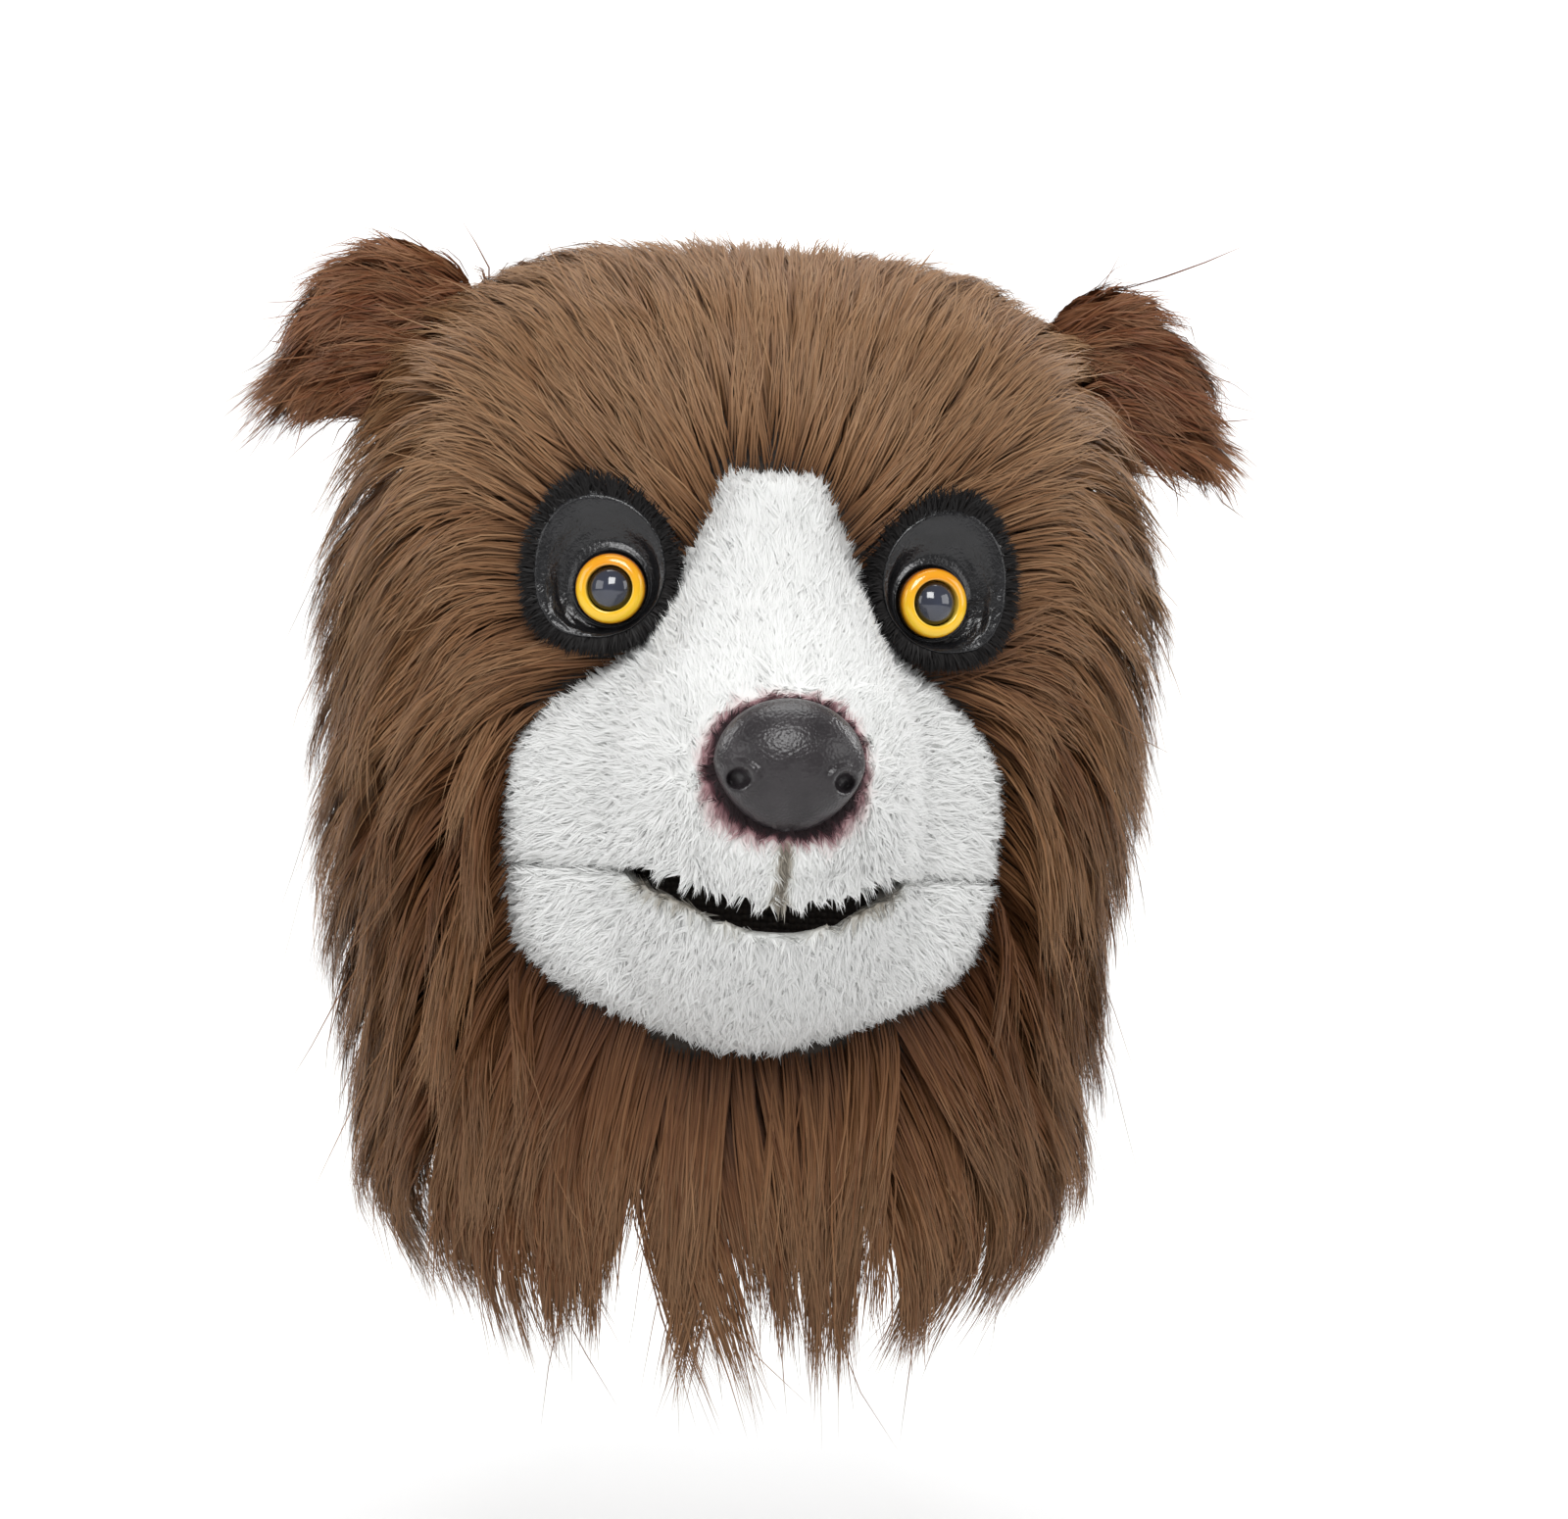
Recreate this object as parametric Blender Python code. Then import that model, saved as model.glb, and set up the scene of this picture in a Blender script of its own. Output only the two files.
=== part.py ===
"""A pull-over bear head: a hollow hood under long brown fur, with a white plush
muzzle and jaw, a black rubber nose, glossy eyes in black sockets and two round ears.

Metres, +Z up. The face looks along -Y and the wearer's left is at +X.
The origin is the inner top of the hood, where the top of a head rests.
"""
import math

import bmesh
import bpy
from mathutils import Vector

# Hood, the backing that all other pieces sit on
HOOD_WIDTH = 0.204
HOOD_FRONT = 0.082
HOOD_BACK = 0.088
HOOD_HEIGHT = 0.2525
HOOD_WALL = 0.0025
HOOD_COLUMNS = 22
SEAT_GAP = 0.0005

# Opening of the hood behind the muzzle
FACE_OPENING_WIDTH = 0.066
FACE_OPENING_HEIGHT = 0.100
FACE_OPENING_CENTRE_Z = -0.155
FACE_OPENING_SIDES = 24

# Brown fur
FUR_LENGTH = 0.034
FUR_COLUMNS = 2 * HOOD_COLUMNS
FUR_SEAM_GAP = 0.0006
FRINGE_LENGTH = 0.0790
FRINGE_TIP_THICKNESS = 0.004
LOCK_RISE = 0.34
LOCK_SHIFT = 0.40
ROWS_PER_LOCK = 4
LOCK_STAGGER = (0, 2, 1, 3)
LOCK_LENGTH_SPREAD = 0.16
LOCK_LENGTH_STEP = 0.618
FRINGE_HALF_ROWS = 4
# On the forehead the fur grows upwards: this far round from the front, above this row
BROW_ANGLE = math.radians(53.0)
BROW_ROWS = 6

# White muzzle and jaw
MUZZLE_TOP_Z = -0.054
MUZZLE_HEIGHT = 0.167
MUZZLE_WIDTH = 0.146
MUZZLE_WALL = 0.0052
PAD_THICKNESS = 0.016
PAD_EDGE_THINNING = 0.40
SNOUT_WIDTH = 0.090
SNOUT_REACH = 0.058
SNOUT_SQUARENESS = 2.4
SNOUT_BLUNTNESS = 0.62
MOUTH_WIDTH = 0.082
MOUTH_OPEN = 0.0055
LIP_ROUNDING = 0.006
LIP_SETBACK = 0.0042
PARTING_GAP = 0.0007
PLUSH_BACK_Y = -0.025
CAVITY_TOP_DROP = 0.30
CAVITY_BOTTOM_DROP = 0.90
CAVITY_ROWS = 12
CAVITY_COLUMNS = 12
MUZZLE_ROWS = 15
JAW_ROWS = 7
PLUSH_COLUMNS = 18

# Nose
NOSE_WIDTH = 0.042
NOSE_HEIGHT = 0.037
NOSE_DEPTH = 0.030
NOSE_CENTRE_Z = -0.138
NOSE_STAND = 0.0097
NOSE_NARROWING = 0.34
NOSE_COLUMNS = 16
NOSE_ROWS = 9
NOSTRIL_SPACING = 0.030
NOSTRIL_WIDTH = 0.009
NOSTRIL_HEIGHT = 0.008
NOSTRIL_DEPTH = 0.011
NOSTRIL_SLANT = 0.35
NOSTRIL_BELOW_MIDDLE = 0.004
NOSTRIL_BEHIND_TIP = 0.006
NOSTRIL_COLUMNS = 12
NOSTRIL_ROWS = 8
GROOVE_WIDTH = 0.0017
GROOVE_DEPTH = 0.0015
GROOVE_LENGTH = 0.023

# Eyes and their sockets
EYE_SPACING = 0.0892
EYE_Z = -0.089
EYE_DIAMETER = 0.0204
EYE_STAND = 0.0125
EYE_TURN = math.radians(12.0)
EYE_GAP = 0.0004
IRIS_THICKNESS = 0.0045
IRIS_RISE = 0.0013
PUPIL_DIAMETER = 0.0126
PUPIL_RISE = 0.0022
PUPIL_WELL_DEPTH = 0.0025
EYE_SIDES = 18
SOCKET_RIM = 0.011
SOCKET_FOOT = 0.020
SOCKET_SIDES = 22
SOCKET_CUT_HEIGHT = 0.028

# Ears
EAR_SIZE = 0.038
EAR_THICKNESS = 0.034
EAR_CUP_DEPTH = 0.010
EAR_COLUMNS = 26
# Short and long tufts by turns along the outer edge, between these directions
EAR_TUFTS = (0.95, 1.07)
EAR_TUFTS_FROM = -70.0
EAR_TUFTS_TO = 50.0

# Horizontal sections of the hood, from its top point to the neck rim.
# drop: share of HOOD_HEIGHT; side, front, back: shares of half the width, of the
# front depth and of the back depth; square: 2 is an ellipse, more is squarer
HOOD_SECTIONS = (
    # drop, side, front, back, square
    (0.000, 0.000, 0.000, 0.000, 2.00),
    (0.008, 0.360, 0.350, 0.350, 2.00),
    (0.032, 0.670, 0.650, 0.640, 2.05),
    (0.095, 0.880, 0.860, 0.860, 2.20),
    (0.200, 0.970, 0.955, 0.960, 2.30),
    (0.330, 1.000, 1.000, 1.000, 2.30),
    (0.475, 0.995, 1.000, 1.000, 2.30),
    (0.625, 0.970, 0.980, 0.970, 2.30),
    (0.770, 0.915, 0.930, 0.910, 2.25),
    (0.885, 0.870, 0.870, 0.850, 2.20),
    (1.000, 0.840, 0.820, 0.800, 2.20),
)

# Fur thickness over the same sections, as shares of FUR_LENGTH, at these angles from the front
FUR_ANGLES = (0.0, 50.0, 90.0, 180.0)
FUR_SECTIONS = (
    # front, cheek, side, back
    (0.56, 0.56, 0.56, 0.56),
    (0.56, 0.56, 0.57, 0.57),
    (0.55, 0.57, 0.64, 0.61),
    (0.48, 0.55, 0.78, 0.67),
    (0.36, 0.42, 0.90, 0.72),
    (0.28, 0.36, 0.93, 0.76),
    (0.28, 0.38, 0.97, 0.79),
    (0.30, 0.46, 1.00, 0.80),
    (0.46, 0.56, 0.92, 0.80),
    (0.82, 0.84, 0.86, 0.78),
    (0.95, 0.94, 0.84, 0.76),
)

# Length of the hanging fringe below the neck rim, as shares of FRINGE_LENGTH
FRINGE_TIPS = (1.00, 0.68, 0.42, 0.48)
FRINGE_NOTCHES = (0.42, 0.34, 0.20, 0.22)

# Which panel covers a cell of the coat: the first line here that holds it.
# The rows are section rows from the top, and the angle is measured from the front.
PANEL_MAP = (
    # panel, first row, row after the last, widest angle
    ("fur_crown", 0, 3, 180.0),
    ("fur_crown", 3, 4, 37.5),
    ("fur_crown", 4, 5, 26.0),
    ("under the muzzle", 5, 8, 16.0),
    ("fur_beard", 8, 12, 60.0),
    ("fur_side", 3, 12, 135.0),
    ("fur_back", 3, 12, 180.0),
)

# Heights of the white plush from its top to the chin.
# drop: share of MUZZLE_HEIGHT; edge: share of half the MUZZLE_WIDTH; snout: share of
# half the SNOUT_WIDTH; reach: share of SNOUT_REACH; pad: share of PAD_THICKNESS
MUZZLE_SECTIONS = (
    # drop, edge, snout, reach, pad
    (0.000, 0.19, 0.28, 0.08, 0.55),
    (0.060, 0.25, 0.37, 0.12, 0.60),
    (0.114, 0.29, 0.44, 0.18, 0.62),
    (0.180, 0.37, 0.56, 0.28, 0.66),
    (0.240, 0.46, 0.68, 0.43, 0.70),
    (0.300, 0.53, 0.78, 0.62, 0.76),
    (0.350, 0.64, 0.86, 0.78, 0.84),
    (0.400, 0.80, 0.92, 0.90, 0.92),
    (0.450, 0.93, 0.96, 0.97, 0.98),
    (0.510, 0.99, 1.00, 1.00, 1.00),
    (0.610, 1.00, 0.99, 0.99, 1.00),
    (0.690, 0.98, 0.96, 0.95, 1.00),
    (0.790, 0.97, 0.90, 0.78, 1.00),
    (0.860, 0.86, 0.82, 0.60, 0.98),
    (0.920, 0.64, 0.68, 0.38, 0.92),
    (0.965, 0.40, 0.48, 0.18, 0.86),
    (1.000, 0.12, 0.20, 0.05, 0.78),
)
MOUTH_CORNER_DROP = 0.690
MOUTH_CENTRE_DROP = 0.755

# Outline of an eye socket around the eye: direction from the middle of the face
# (0 is inwards to the nose, 90 is up) and distance as a share of EYE_DIAMETER
SOCKET_OUTLINE = (
    # direction, distance
    (0.0, 0.76),
    (35.0, 0.95),
    (65.0, 1.20),
    (90.0, 1.42),
    (115.0, 1.56),
    (140.0, 1.42),
    (165.0, 1.22),
    (190.0, 1.14),
    (215.0, 1.06),
    (245.0, 0.80),
    (280.0, 0.66),
    (320.0, 0.64),
)

# Outline of an ear around its middle: direction (0 is outwards, 90 is up) and reach
# as a share of EAR_SIZE
EAR_OUTLINE = (
    # direction, reach
    (0.0, 1.02),
    (30.0, 0.95),
    (60.0, 0.95),
    (90.0, 0.98),
    (120.0, 1.02),
    (150.0, 1.00),
    (180.0, 0.96),
    (225.0, 0.90),
    (270.0, 0.86),
    (300.0, 0.98),
    (328.0, 1.22),
    (345.0, 1.12),
)

# The two ears: middle across as a share of half the HOOD_WIDTH, height of the middle
# as a share of HOOD_HEIGHT below the top, turn in degrees, and size share
EARS = (
    # name, side, across, drop, turn, size
    ("ear_left", 1.0, 1.055, 0.068, -6.0, 0.97),
    ("ear_right", -1.0, 1.040, 0.054, 0.0, 1.01),
)

COLOURS = {
    # name: red, green, blue, roughness
    "hood": (0.030, 0.024, 0.020, 0.90),
    "fur": (0.250, 0.120, 0.060, 0.75),
    "white": (0.860, 0.850, 0.830, 0.90),
    "nose": (0.018, 0.015, 0.017, 0.35),
    "socket": (0.010, 0.010, 0.012, 0.25),
    "iris": (0.760, 0.420, 0.030, 0.12),
    "pupil": (0.020, 0.022, 0.036, 0.08),
}


def clear_scene():
    for old in list(bpy.data.objects):
        bpy.data.objects.remove(old, do_unlink=True)


def material(name, look):
    made = bpy.data.materials.new(name)
    made.use_nodes = True
    red, green, blue, roughness = COLOURS[look]
    shader = made.node_tree.nodes["Principled BSDF"]
    shader.inputs["Base Color"].default_value = (red, green, blue, 1.0)
    shader.inputs["Roughness"].default_value = roughness
    made.diffuse_color = (red, green, blue, 1.0)
    return made


def finish_mesh(name, shape, look=None):
    """Close a bmesh into a named object with outward faces and smooth shading."""
    shape.normal_update()
    bmesh.ops.recalc_face_normals(shape, faces=shape.faces)
    bmesh.ops.triangulate(shape, faces=shape.faces)
    mesh = bpy.data.meshes.new(name)
    shape.to_mesh(mesh)
    shape.free()
    mesh.shade_smooth()
    made = bpy.data.objects.new(name, mesh)
    bpy.context.scene.collection.objects.link(made)
    if look:
        mesh.materials.append(material(name, look))
    else:
        made.hide_render = True
        made.display_type = "WIRE"
    return made


def cut(target, cutters):
    """Take each cutter away from the target, as live Boolean modifiers."""
    for cutter in cutters:
        step = target.modifiers.new("cut by " + cutter.name, "BOOLEAN")
        step.operation = "DIFFERENCE"
        step.solver = "EXACT"
        step.object = cutter


def hermite(before, start, end, after, share):
    """A smooth curve between two neighbouring table values."""
    tangent_in = (end - before) / 2
    tangent_out = (after - start) / 2
    square = share * share
    cube = square * share
    value = (2 * cube - 3 * square + 1) * start
    value += (cube - 2 * square + share) * tangent_in
    value += (3 * square - 2 * cube) * end
    value += (cube - square) * tangent_out
    return value


def read_row(table, position):
    """All columns of a table at a row position that may lie between two rows."""
    last = len(table) - 1
    position = min(max(position, 0.0), float(last))
    first = min(int(position), last - 1)
    share = position - first
    rows = [table[min(max(first + step, 0), last)] for step in (-1, 0, 1, 2)]
    return [hermite(*values, share) for values in zip(*rows)]


def row_at(table, value):
    """The row position where the first column of a table reaches a value."""
    last = len(table) - 1
    for row in range(last):
        start = table[row][0]
        end = table[row + 1][0]
        if value <= end:
            return row + max(value - start, 0.0) / (end - start)
    return float(last)


def around(table, direction):
    """The second column of a closed outline table at a direction in degrees."""
    direction = direction % 360.0
    count = len(table)
    for row in range(count):
        start = table[row][0]
        end = table[(row + 1) % count][0] + (360.0 if row == count - 1 else 0.0)
        if start <= direction < end:
            share = (direction - start) / (end - start)
            values = [table[(row + step) % count][1] for step in (-1, 0, 1, 2)]
            return hermite(*values, share)
    return table[0][1]


def by_angle(values, angle):
    """Blend the four values at FUR_ANGLES for an angle in radians from the front."""
    degrees = abs(math.degrees(math.atan2(math.sin(angle), math.cos(angle))))
    for step in range(3):
        start = FUR_ANGLES[step]
        end = FUR_ANGLES[step + 1]
        if degrees <= end:
            share = (degrees - start) / (end - start)
            share = share * share * (3 - 2 * share)
            return values[step] + (values[step + 1] - values[step]) * share
    return values[-1]


def signed_power(value, exponent):
    return math.copysign(abs(value) ** exponent, value)


def hood_base(angle, row):
    """A point of the hood's outer surface, at an angle from the front and a section row."""
    drop, side, front, back, square = read_row(HOOD_SECTIONS, row)
    exponent = 2.0 / square
    across = signed_power(math.sin(angle), exponent) * side * HOOD_WIDTH / 2
    along = signed_power(math.cos(angle), exponent)
    depth = front * HOOD_FRONT if along > 0 else back * HOOD_BACK
    return Vector((across, -along * depth, HOOD_WALL - drop * HOOD_HEIGHT))


def hood_normal(angle, row):
    if row < 0.01:
        return Vector((0, 0, 1))
    turn = 0.01
    step = 0.05
    low = min(row + step, len(HOOD_SECTIONS) - 1.0)
    high = max(row - step, 0.01)
    sideways = hood_base(angle + turn, row) - hood_base(angle - turn, row)
    downwards = hood_base(angle, low) - hood_base(angle, high)
    return downwards.cross(sideways).normalized()


def hood_point(angle, row, lift=0.0):
    return hood_base(angle, row) + hood_normal(angle, row) * lift


def hood_front_y(x, z):
    """Depth of the hood's outer front at a place seen from the front."""
    row = row_at(HOOD_SECTIONS, (HOOD_WALL - z) / HOOD_HEIGHT)
    drop, side, front, back, square = read_row(HOOD_SECTIONS, row)
    share = min(abs(x) / (side * HOOD_WIDTH / 2), 0.98)
    return -front * HOOD_FRONT * (1 - share ** square) ** (1 / square)


def ring(shape, points):
    return [shape.verts.new(point) for point in points]


def join_rings(shape, first, second):
    count = len(first)
    for index in range(count):
        following = (index + 1) % count
        shape.faces.new((first[index], first[following], second[following], second[index]))


def close_ring(shape, points, middle):
    tip = shape.verts.new(middle)
    for index, point in enumerate(points):
        shape.faces.new((point, points[(index + 1) % len(points)], tip))


def hood_surface(shape, lift):
    """The hood's outer surface as rings from the top point to the neck rim."""
    angles = [math.tau * column / HOOD_COLUMNS for column in range(HOOD_COLUMNS)]
    rings = []
    for row in range(1, len(HOOD_SECTIONS)):
        rings.append(ring(shape, [hood_point(angle, row, lift) for angle in angles]))
    close_ring(shape, rings[0], hood_point(0.0, 0.0, lift))
    for first, second in zip(rings, rings[1:]):
        join_rings(shape, first, second)
    return rings


def head_cutter():
    """The space of the hood and a small seat gap, closed, to seat the other pieces on it."""
    shape = bmesh.new()
    rings = hood_surface(shape, SEAT_GAP)
    below = [vert.co + Vector((0, 0, -FRINGE_LENGTH)) for vert in rings[-1]]
    lowest = ring(shape, below)
    join_rings(shape, rings[-1], lowest)
    shape.faces.new(lowest)
    return finish_mesh("head_cutter", shape)


def face_cutter():
    """An oval rod along Y that opens the hood behind the muzzle."""
    shape = bmesh.new()
    bmesh.ops.create_cone(
        shape, cap_ends=True, segments=FACE_OPENING_SIDES,
        radius1=0.5, radius2=0.5, depth=HOOD_FRONT,
    )
    for vert in shape.verts:
        across, up, along = vert.co
        vert.co = (
            across * FACE_OPENING_WIDTH,
            -along - HOOD_FRONT,
            FACE_OPENING_CENTRE_Z + up * FACE_OPENING_HEIGHT,
        )
    return finish_mesh("face_cutter", shape)


def make_hood():
    shape = bmesh.new()
    hood_surface(shape, 0.0)
    bmesh.ops.recalc_face_normals(shape, faces=shape.faces)
    bmesh.ops.solidify(shape, geom=shape.faces[:], thickness=HOOD_WALL)
    made = finish_mesh("hood", shape, "hood")
    cut(made, [face_cutter()])
    return made


def lock_wave(index):
    """A repeatable share between 0 and 1 that differs from lock to lock."""
    return (index * LOCK_LENGTH_STEP) % 1.0


def lock_step(column, half_row):
    """Steps from a lock's root at this vertex; neighbouring locks start at other heights."""
    return (half_row + LOCK_STAGGER[column % len(LOCK_STAGGER)]) % ROWS_PER_LOCK


def fur_lift(column, row, angle):
    """Height of the coat over the hood: each lock rises towards its tip, where the next begins."""
    table_row = read_row(FUR_SECTIONS, row)
    thickness = by_angle(table_row, angle) * FUR_LENGTH
    grows = lock_step(column, int(round(row * 2))) / (ROWS_PER_LOCK - 1)
    if math.cos(angle) > math.cos(BROW_ANGLE) and row < BROW_ROWS:
        grows = 1.0 - grows
    strength = min(row / 2, 1.0) ** 2
    return thickness * (1.0 - strength * LOCK_RISE * (1.0 - grows))


def fur_outer_point(column, half_row, inside):
    """A vertex of the coat's outer surface; half rows beyond the rim hang down.

    A lock's tip reaches over the next lock, but not where two panels meet.
    """
    angle = math.tau * column / FUR_COLUMNS
    rim_row = len(HOOD_SECTIONS) - 1
    row = half_row / 2
    if row <= rim_row:
        shifted = row
        if inside and 2 < row < rim_row and lock_step(column, half_row) == ROWS_PER_LOCK - 1:
            shifted = row + LOCK_SHIFT
        return hood_point(angle, shifted, SEAT_GAP + fur_lift(column, row, angle))
    share = (half_row - 2 * rim_row) / FRINGE_HALF_ROWS
    thick = SEAT_GAP + fur_lift(column, rim_row, angle)
    thin = SEAT_GAP + FRINGE_TIP_THICKNESS
    lift = thick + (thin - thick) * share ** 1.5
    start = hood_point(angle, rim_row, lift)
    start.z = HOOD_WALL - HOOD_HEIGHT - hang_length(column, angle) * share
    return start


def fur_inner_point(column, row):
    angle = math.tau * column / FUR_COLUMNS
    rim_row = len(HOOD_SECTIONS) - 1
    if row <= rim_row:
        return hood_point(angle, row, SEAT_GAP)
    share = (row - rim_row) * 2 / FRINGE_HALF_ROWS
    start = hood_point(angle, rim_row, SEAT_GAP)
    start.z = HOOD_WALL - HOOD_HEIGHT - hang_length(column, angle) * share
    return start


def hang_length(column, angle):
    """How far the fringe hangs below the rim: long at a lock's tip, short between locks."""
    if column % 2:
        longer = 1.0 - LOCK_LENGTH_SPREAD * (1.0 - lock_wave(column))
        return by_angle(FRINGE_TIPS, angle) * FRINGE_LENGTH * longer
    return by_angle(FRINGE_NOTCHES, angle) * FRINGE_LENGTH


def panel_of(column, row):
    """Which fur panel covers the cell to the right of a column and below a row."""
    middle = (column + 0.5) / FUR_COLUMNS * 360.0
    if middle > 180.0:
        middle -= 360.0
    for panel, first_row, after_row, widest in PANEL_MAP:
        if first_row <= row < after_row and abs(middle) < widest:
            if panel == "fur_side":
                return "fur_side_left" if middle > 0 else "fur_side_right"
            return panel
    return "no panel"


class FurPanel:
    """One panel of fur: an inner sheet on the hood, an outer coat in locks, and walls.

    It covers some of the cells between the columns and rows of the hood's surface.
    A cell is one section row high; the coat's outer side has two half rows in it.
    """

    def __init__(self, name):
        self.name = name
        self.shape = bmesh.new()
        self.outer = {}
        self.inner = {}
        self.cells = set()
        rows = len(HOOD_SECTIONS) - 1 + FRINGE_HALF_ROWS // 2
        for column in range(FUR_COLUMNS):
            for row in range(rows):
                if panel_of(column, row) == name:
                    self.cells.add((column, row))

    def holds(self, column, row):
        return (column % FUR_COLUMNS, row) in self.cells

    def cell_middle(self, column, row):
        angle = math.tau * (column + 0.5) / FUR_COLUMNS
        rim_row = len(HOOD_SECTIONS) - 1.0
        middle = hood_point(angle, min(row + 0.5, rim_row))
        if row + 0.5 > rim_row:
            middle.z -= FRINGE_LENGTH / FRINGE_HALF_ROWS
        return middle

    def seam_shift(self, column, half_row):
        """Draw a vertex on the panel's edge inwards, so that two panels keep a small gap."""
        if half_row == 0:
            return Vector((0, 0, 0))
        middles = []
        for corner_row in ((half_row - 1) // 2, half_row // 2):
            for corner_column in (column - 1, column):
                if self.holds(corner_column, corner_row):
                    middles.append(self.cell_middle(corner_column, corner_row))
        if len(middles) in (0, 4):
            return Vector((0, 0, 0))
        corner_angle = math.tau * column / FUR_COLUMNS
        here = hood_point(corner_angle, min(half_row / 2, len(HOOD_SECTIONS) - 1.0))
        toward = sum(middles, Vector((0, 0, 0))) / len(middles) - here
        return toward.normalized() * FUR_SEAM_GAP

    def outer_vert(self, column, half_row):
        key = (0, 0) if half_row == 0 else (column % FUR_COLUMNS, half_row)
        if key not in self.outer:
            shift = self.seam_shift(*key)
            inside = shift.length == 0.0
            self.outer[key] = self.shape.verts.new(fur_outer_point(*key, inside) + shift)
        return self.outer[key]

    def inner_vert(self, column, row):
        key = (0, 0) if row == 0 else (column % FUR_COLUMNS, row)
        if key not in self.inner:
            place = fur_inner_point(*key) + self.seam_shift(key[0], key[1] * 2)
            self.inner[key] = self.shape.verts.new(place)
        return self.inner[key]

    def face(self, *corners):
        kept = []
        for corner in corners:
            if corner not in kept:
                kept.append(corner)
        if len(kept) > 2:
            self.shape.faces.new(kept)

    def add_sheets(self, column, row):
        """The inner and outer faces of a cell."""
        following = column + 1
        self.face(
            self.inner_vert(column, row), self.inner_vert(following, row),
            self.inner_vert(following, row + 1), self.inner_vert(column, row + 1),
        )
        for step in (row * 2, row * 2 + 1):
            self.face(
                self.outer_vert(column, step), self.outer_vert(column, step + 1),
                self.outer_vert(following, step + 1), self.outer_vert(following, step),
            )

    def add_walls(self, column, row):
        """The faces from the inner to the outer sheet where the neighbour is another panel's."""
        half = row * 2
        following = column + 1
        for side_column, neighbour in ((column, column - 1), (following, following)):
            if not self.holds(neighbour, row):
                self.face(
                    self.inner_vert(side_column, row), self.inner_vert(side_column, row + 1),
                    self.outer_vert(side_column, half + 2), self.outer_vert(side_column, half + 1),
                    self.outer_vert(side_column, half),
                )
        for edge_row, neighbour in ((row, row - 1), (row + 1, row + 1)):
            if neighbour >= 0 and not self.holds(column, neighbour):
                self.face(
                    self.inner_vert(column, edge_row), self.inner_vert(following, edge_row),
                    self.outer_vert(following, edge_row * 2), self.outer_vert(column, edge_row * 2),
                )

    def make(self, cutters):
        for column, row in sorted(self.cells):
            self.add_sheets(column, row)
            self.add_walls(column, row)
        made = finish_mesh(self.name, self.shape, "fur")
        cut(made, cutters)
        return made


def muzzle_front(x, z):
    """Depth of the white plush at a place seen from the front."""
    drop = (MUZZLE_TOP_Z - z) / MUZZLE_HEIGHT
    row = row_at(MUZZLE_SECTIONS, drop)
    at_drop, edge, snout, reach, pad = read_row(MUZZLE_SECTIONS, row)
    half_edge = edge * MUZZLE_WIDTH / 2
    half_snout = snout * SNOUT_WIDTH / 2
    outwards = min(abs(x) / half_edge, 1.0)
    thickness = pad * PAD_THICKNESS * (1.0 - PAD_EDGE_THINNING * outwards ** 6)
    across = min(abs(x) / half_snout, 1.0)
    bulge = (1.0 - across ** SNOUT_SQUARENESS) ** SNOUT_BLUNTNESS
    return hood_front_y(x, z) - thickness - reach * SNOUT_REACH * bulge


def mouth_z(share):
    """Height of the mouth line at a share of the muzzle's half width."""
    half_mouth = MOUTH_WIDTH / MUZZLE_WIDTH
    bell = max(1.0 - (share / half_mouth) ** 2, 0.0) ** 1.5
    drop = MOUTH_CORNER_DROP + (MOUTH_CENTRE_DROP - MOUTH_CORNER_DROP) * bell
    return MUZZLE_TOP_Z - drop * MUZZLE_HEIGHT


def mouth_gap(share):
    """Half the height of the mouth slit; outside the mouth it is the seam's gap."""
    half_mouth = MOUTH_WIDTH / MUZZLE_WIDTH
    bell = max(1.0 - (share / half_mouth) ** 2, 0.0) ** 0.7
    return max(MOUTH_OPEN / 2 * bell, SEAT_GAP / 2)


def plush_solid(name, top_z, bottom_z, rows, look=None, grow=0.0, forward=0.0, lips=()):
    """A block whose front is the white plush between two heights, and whose back lies in the head.

    A cutter's block grows sideways by one gap, and forwards by that gap or a longer way.
    """
    shape = bmesh.new()
    grid = []
    for row in range(rows + 1):
        down = row / rows
        line = []
        for column in range(PLUSH_COLUMNS + 1):
            share = 2.0 * column / PLUSH_COLUMNS - 1.0
            top = top_z(share)
            bottom = bottom_z(share)
            z = top + (bottom - top) * down
            table_row = row_at(MUZZLE_SECTIONS, (MUZZLE_TOP_Z - z) / MUZZLE_HEIGHT)
            half_edge = read_row(MUZZLE_SECTIONS, table_row)[1] * MUZZLE_WIDTH / 2
            x = share * half_edge
            y = muzzle_front(x, z) - grow - forward
            for lip in lips:
                edge_z = bottom if lip == "bottom" else top
                near = max(1.0 - abs(z - edge_z) / LIP_ROUNDING, 0.0)
                y += LIP_SETBACK * near ** 2
            line.append(shape.verts.new((x + share * grow, y, z)))
        grid.append(line)
    for upper, lower in zip(grid, grid[1:]):
        for column in range(PLUSH_COLUMNS):
            shape.faces.new((upper[column], upper[column + 1], lower[column + 1], lower[column]))
    pushed = bmesh.ops.extrude_face_region(shape, geom=shape.faces[:])
    for part in pushed["geom"]:
        if isinstance(part, bmesh.types.BMVert):
            part.co.y = PLUSH_BACK_Y
    return finish_mesh(name, shape, look)


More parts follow.
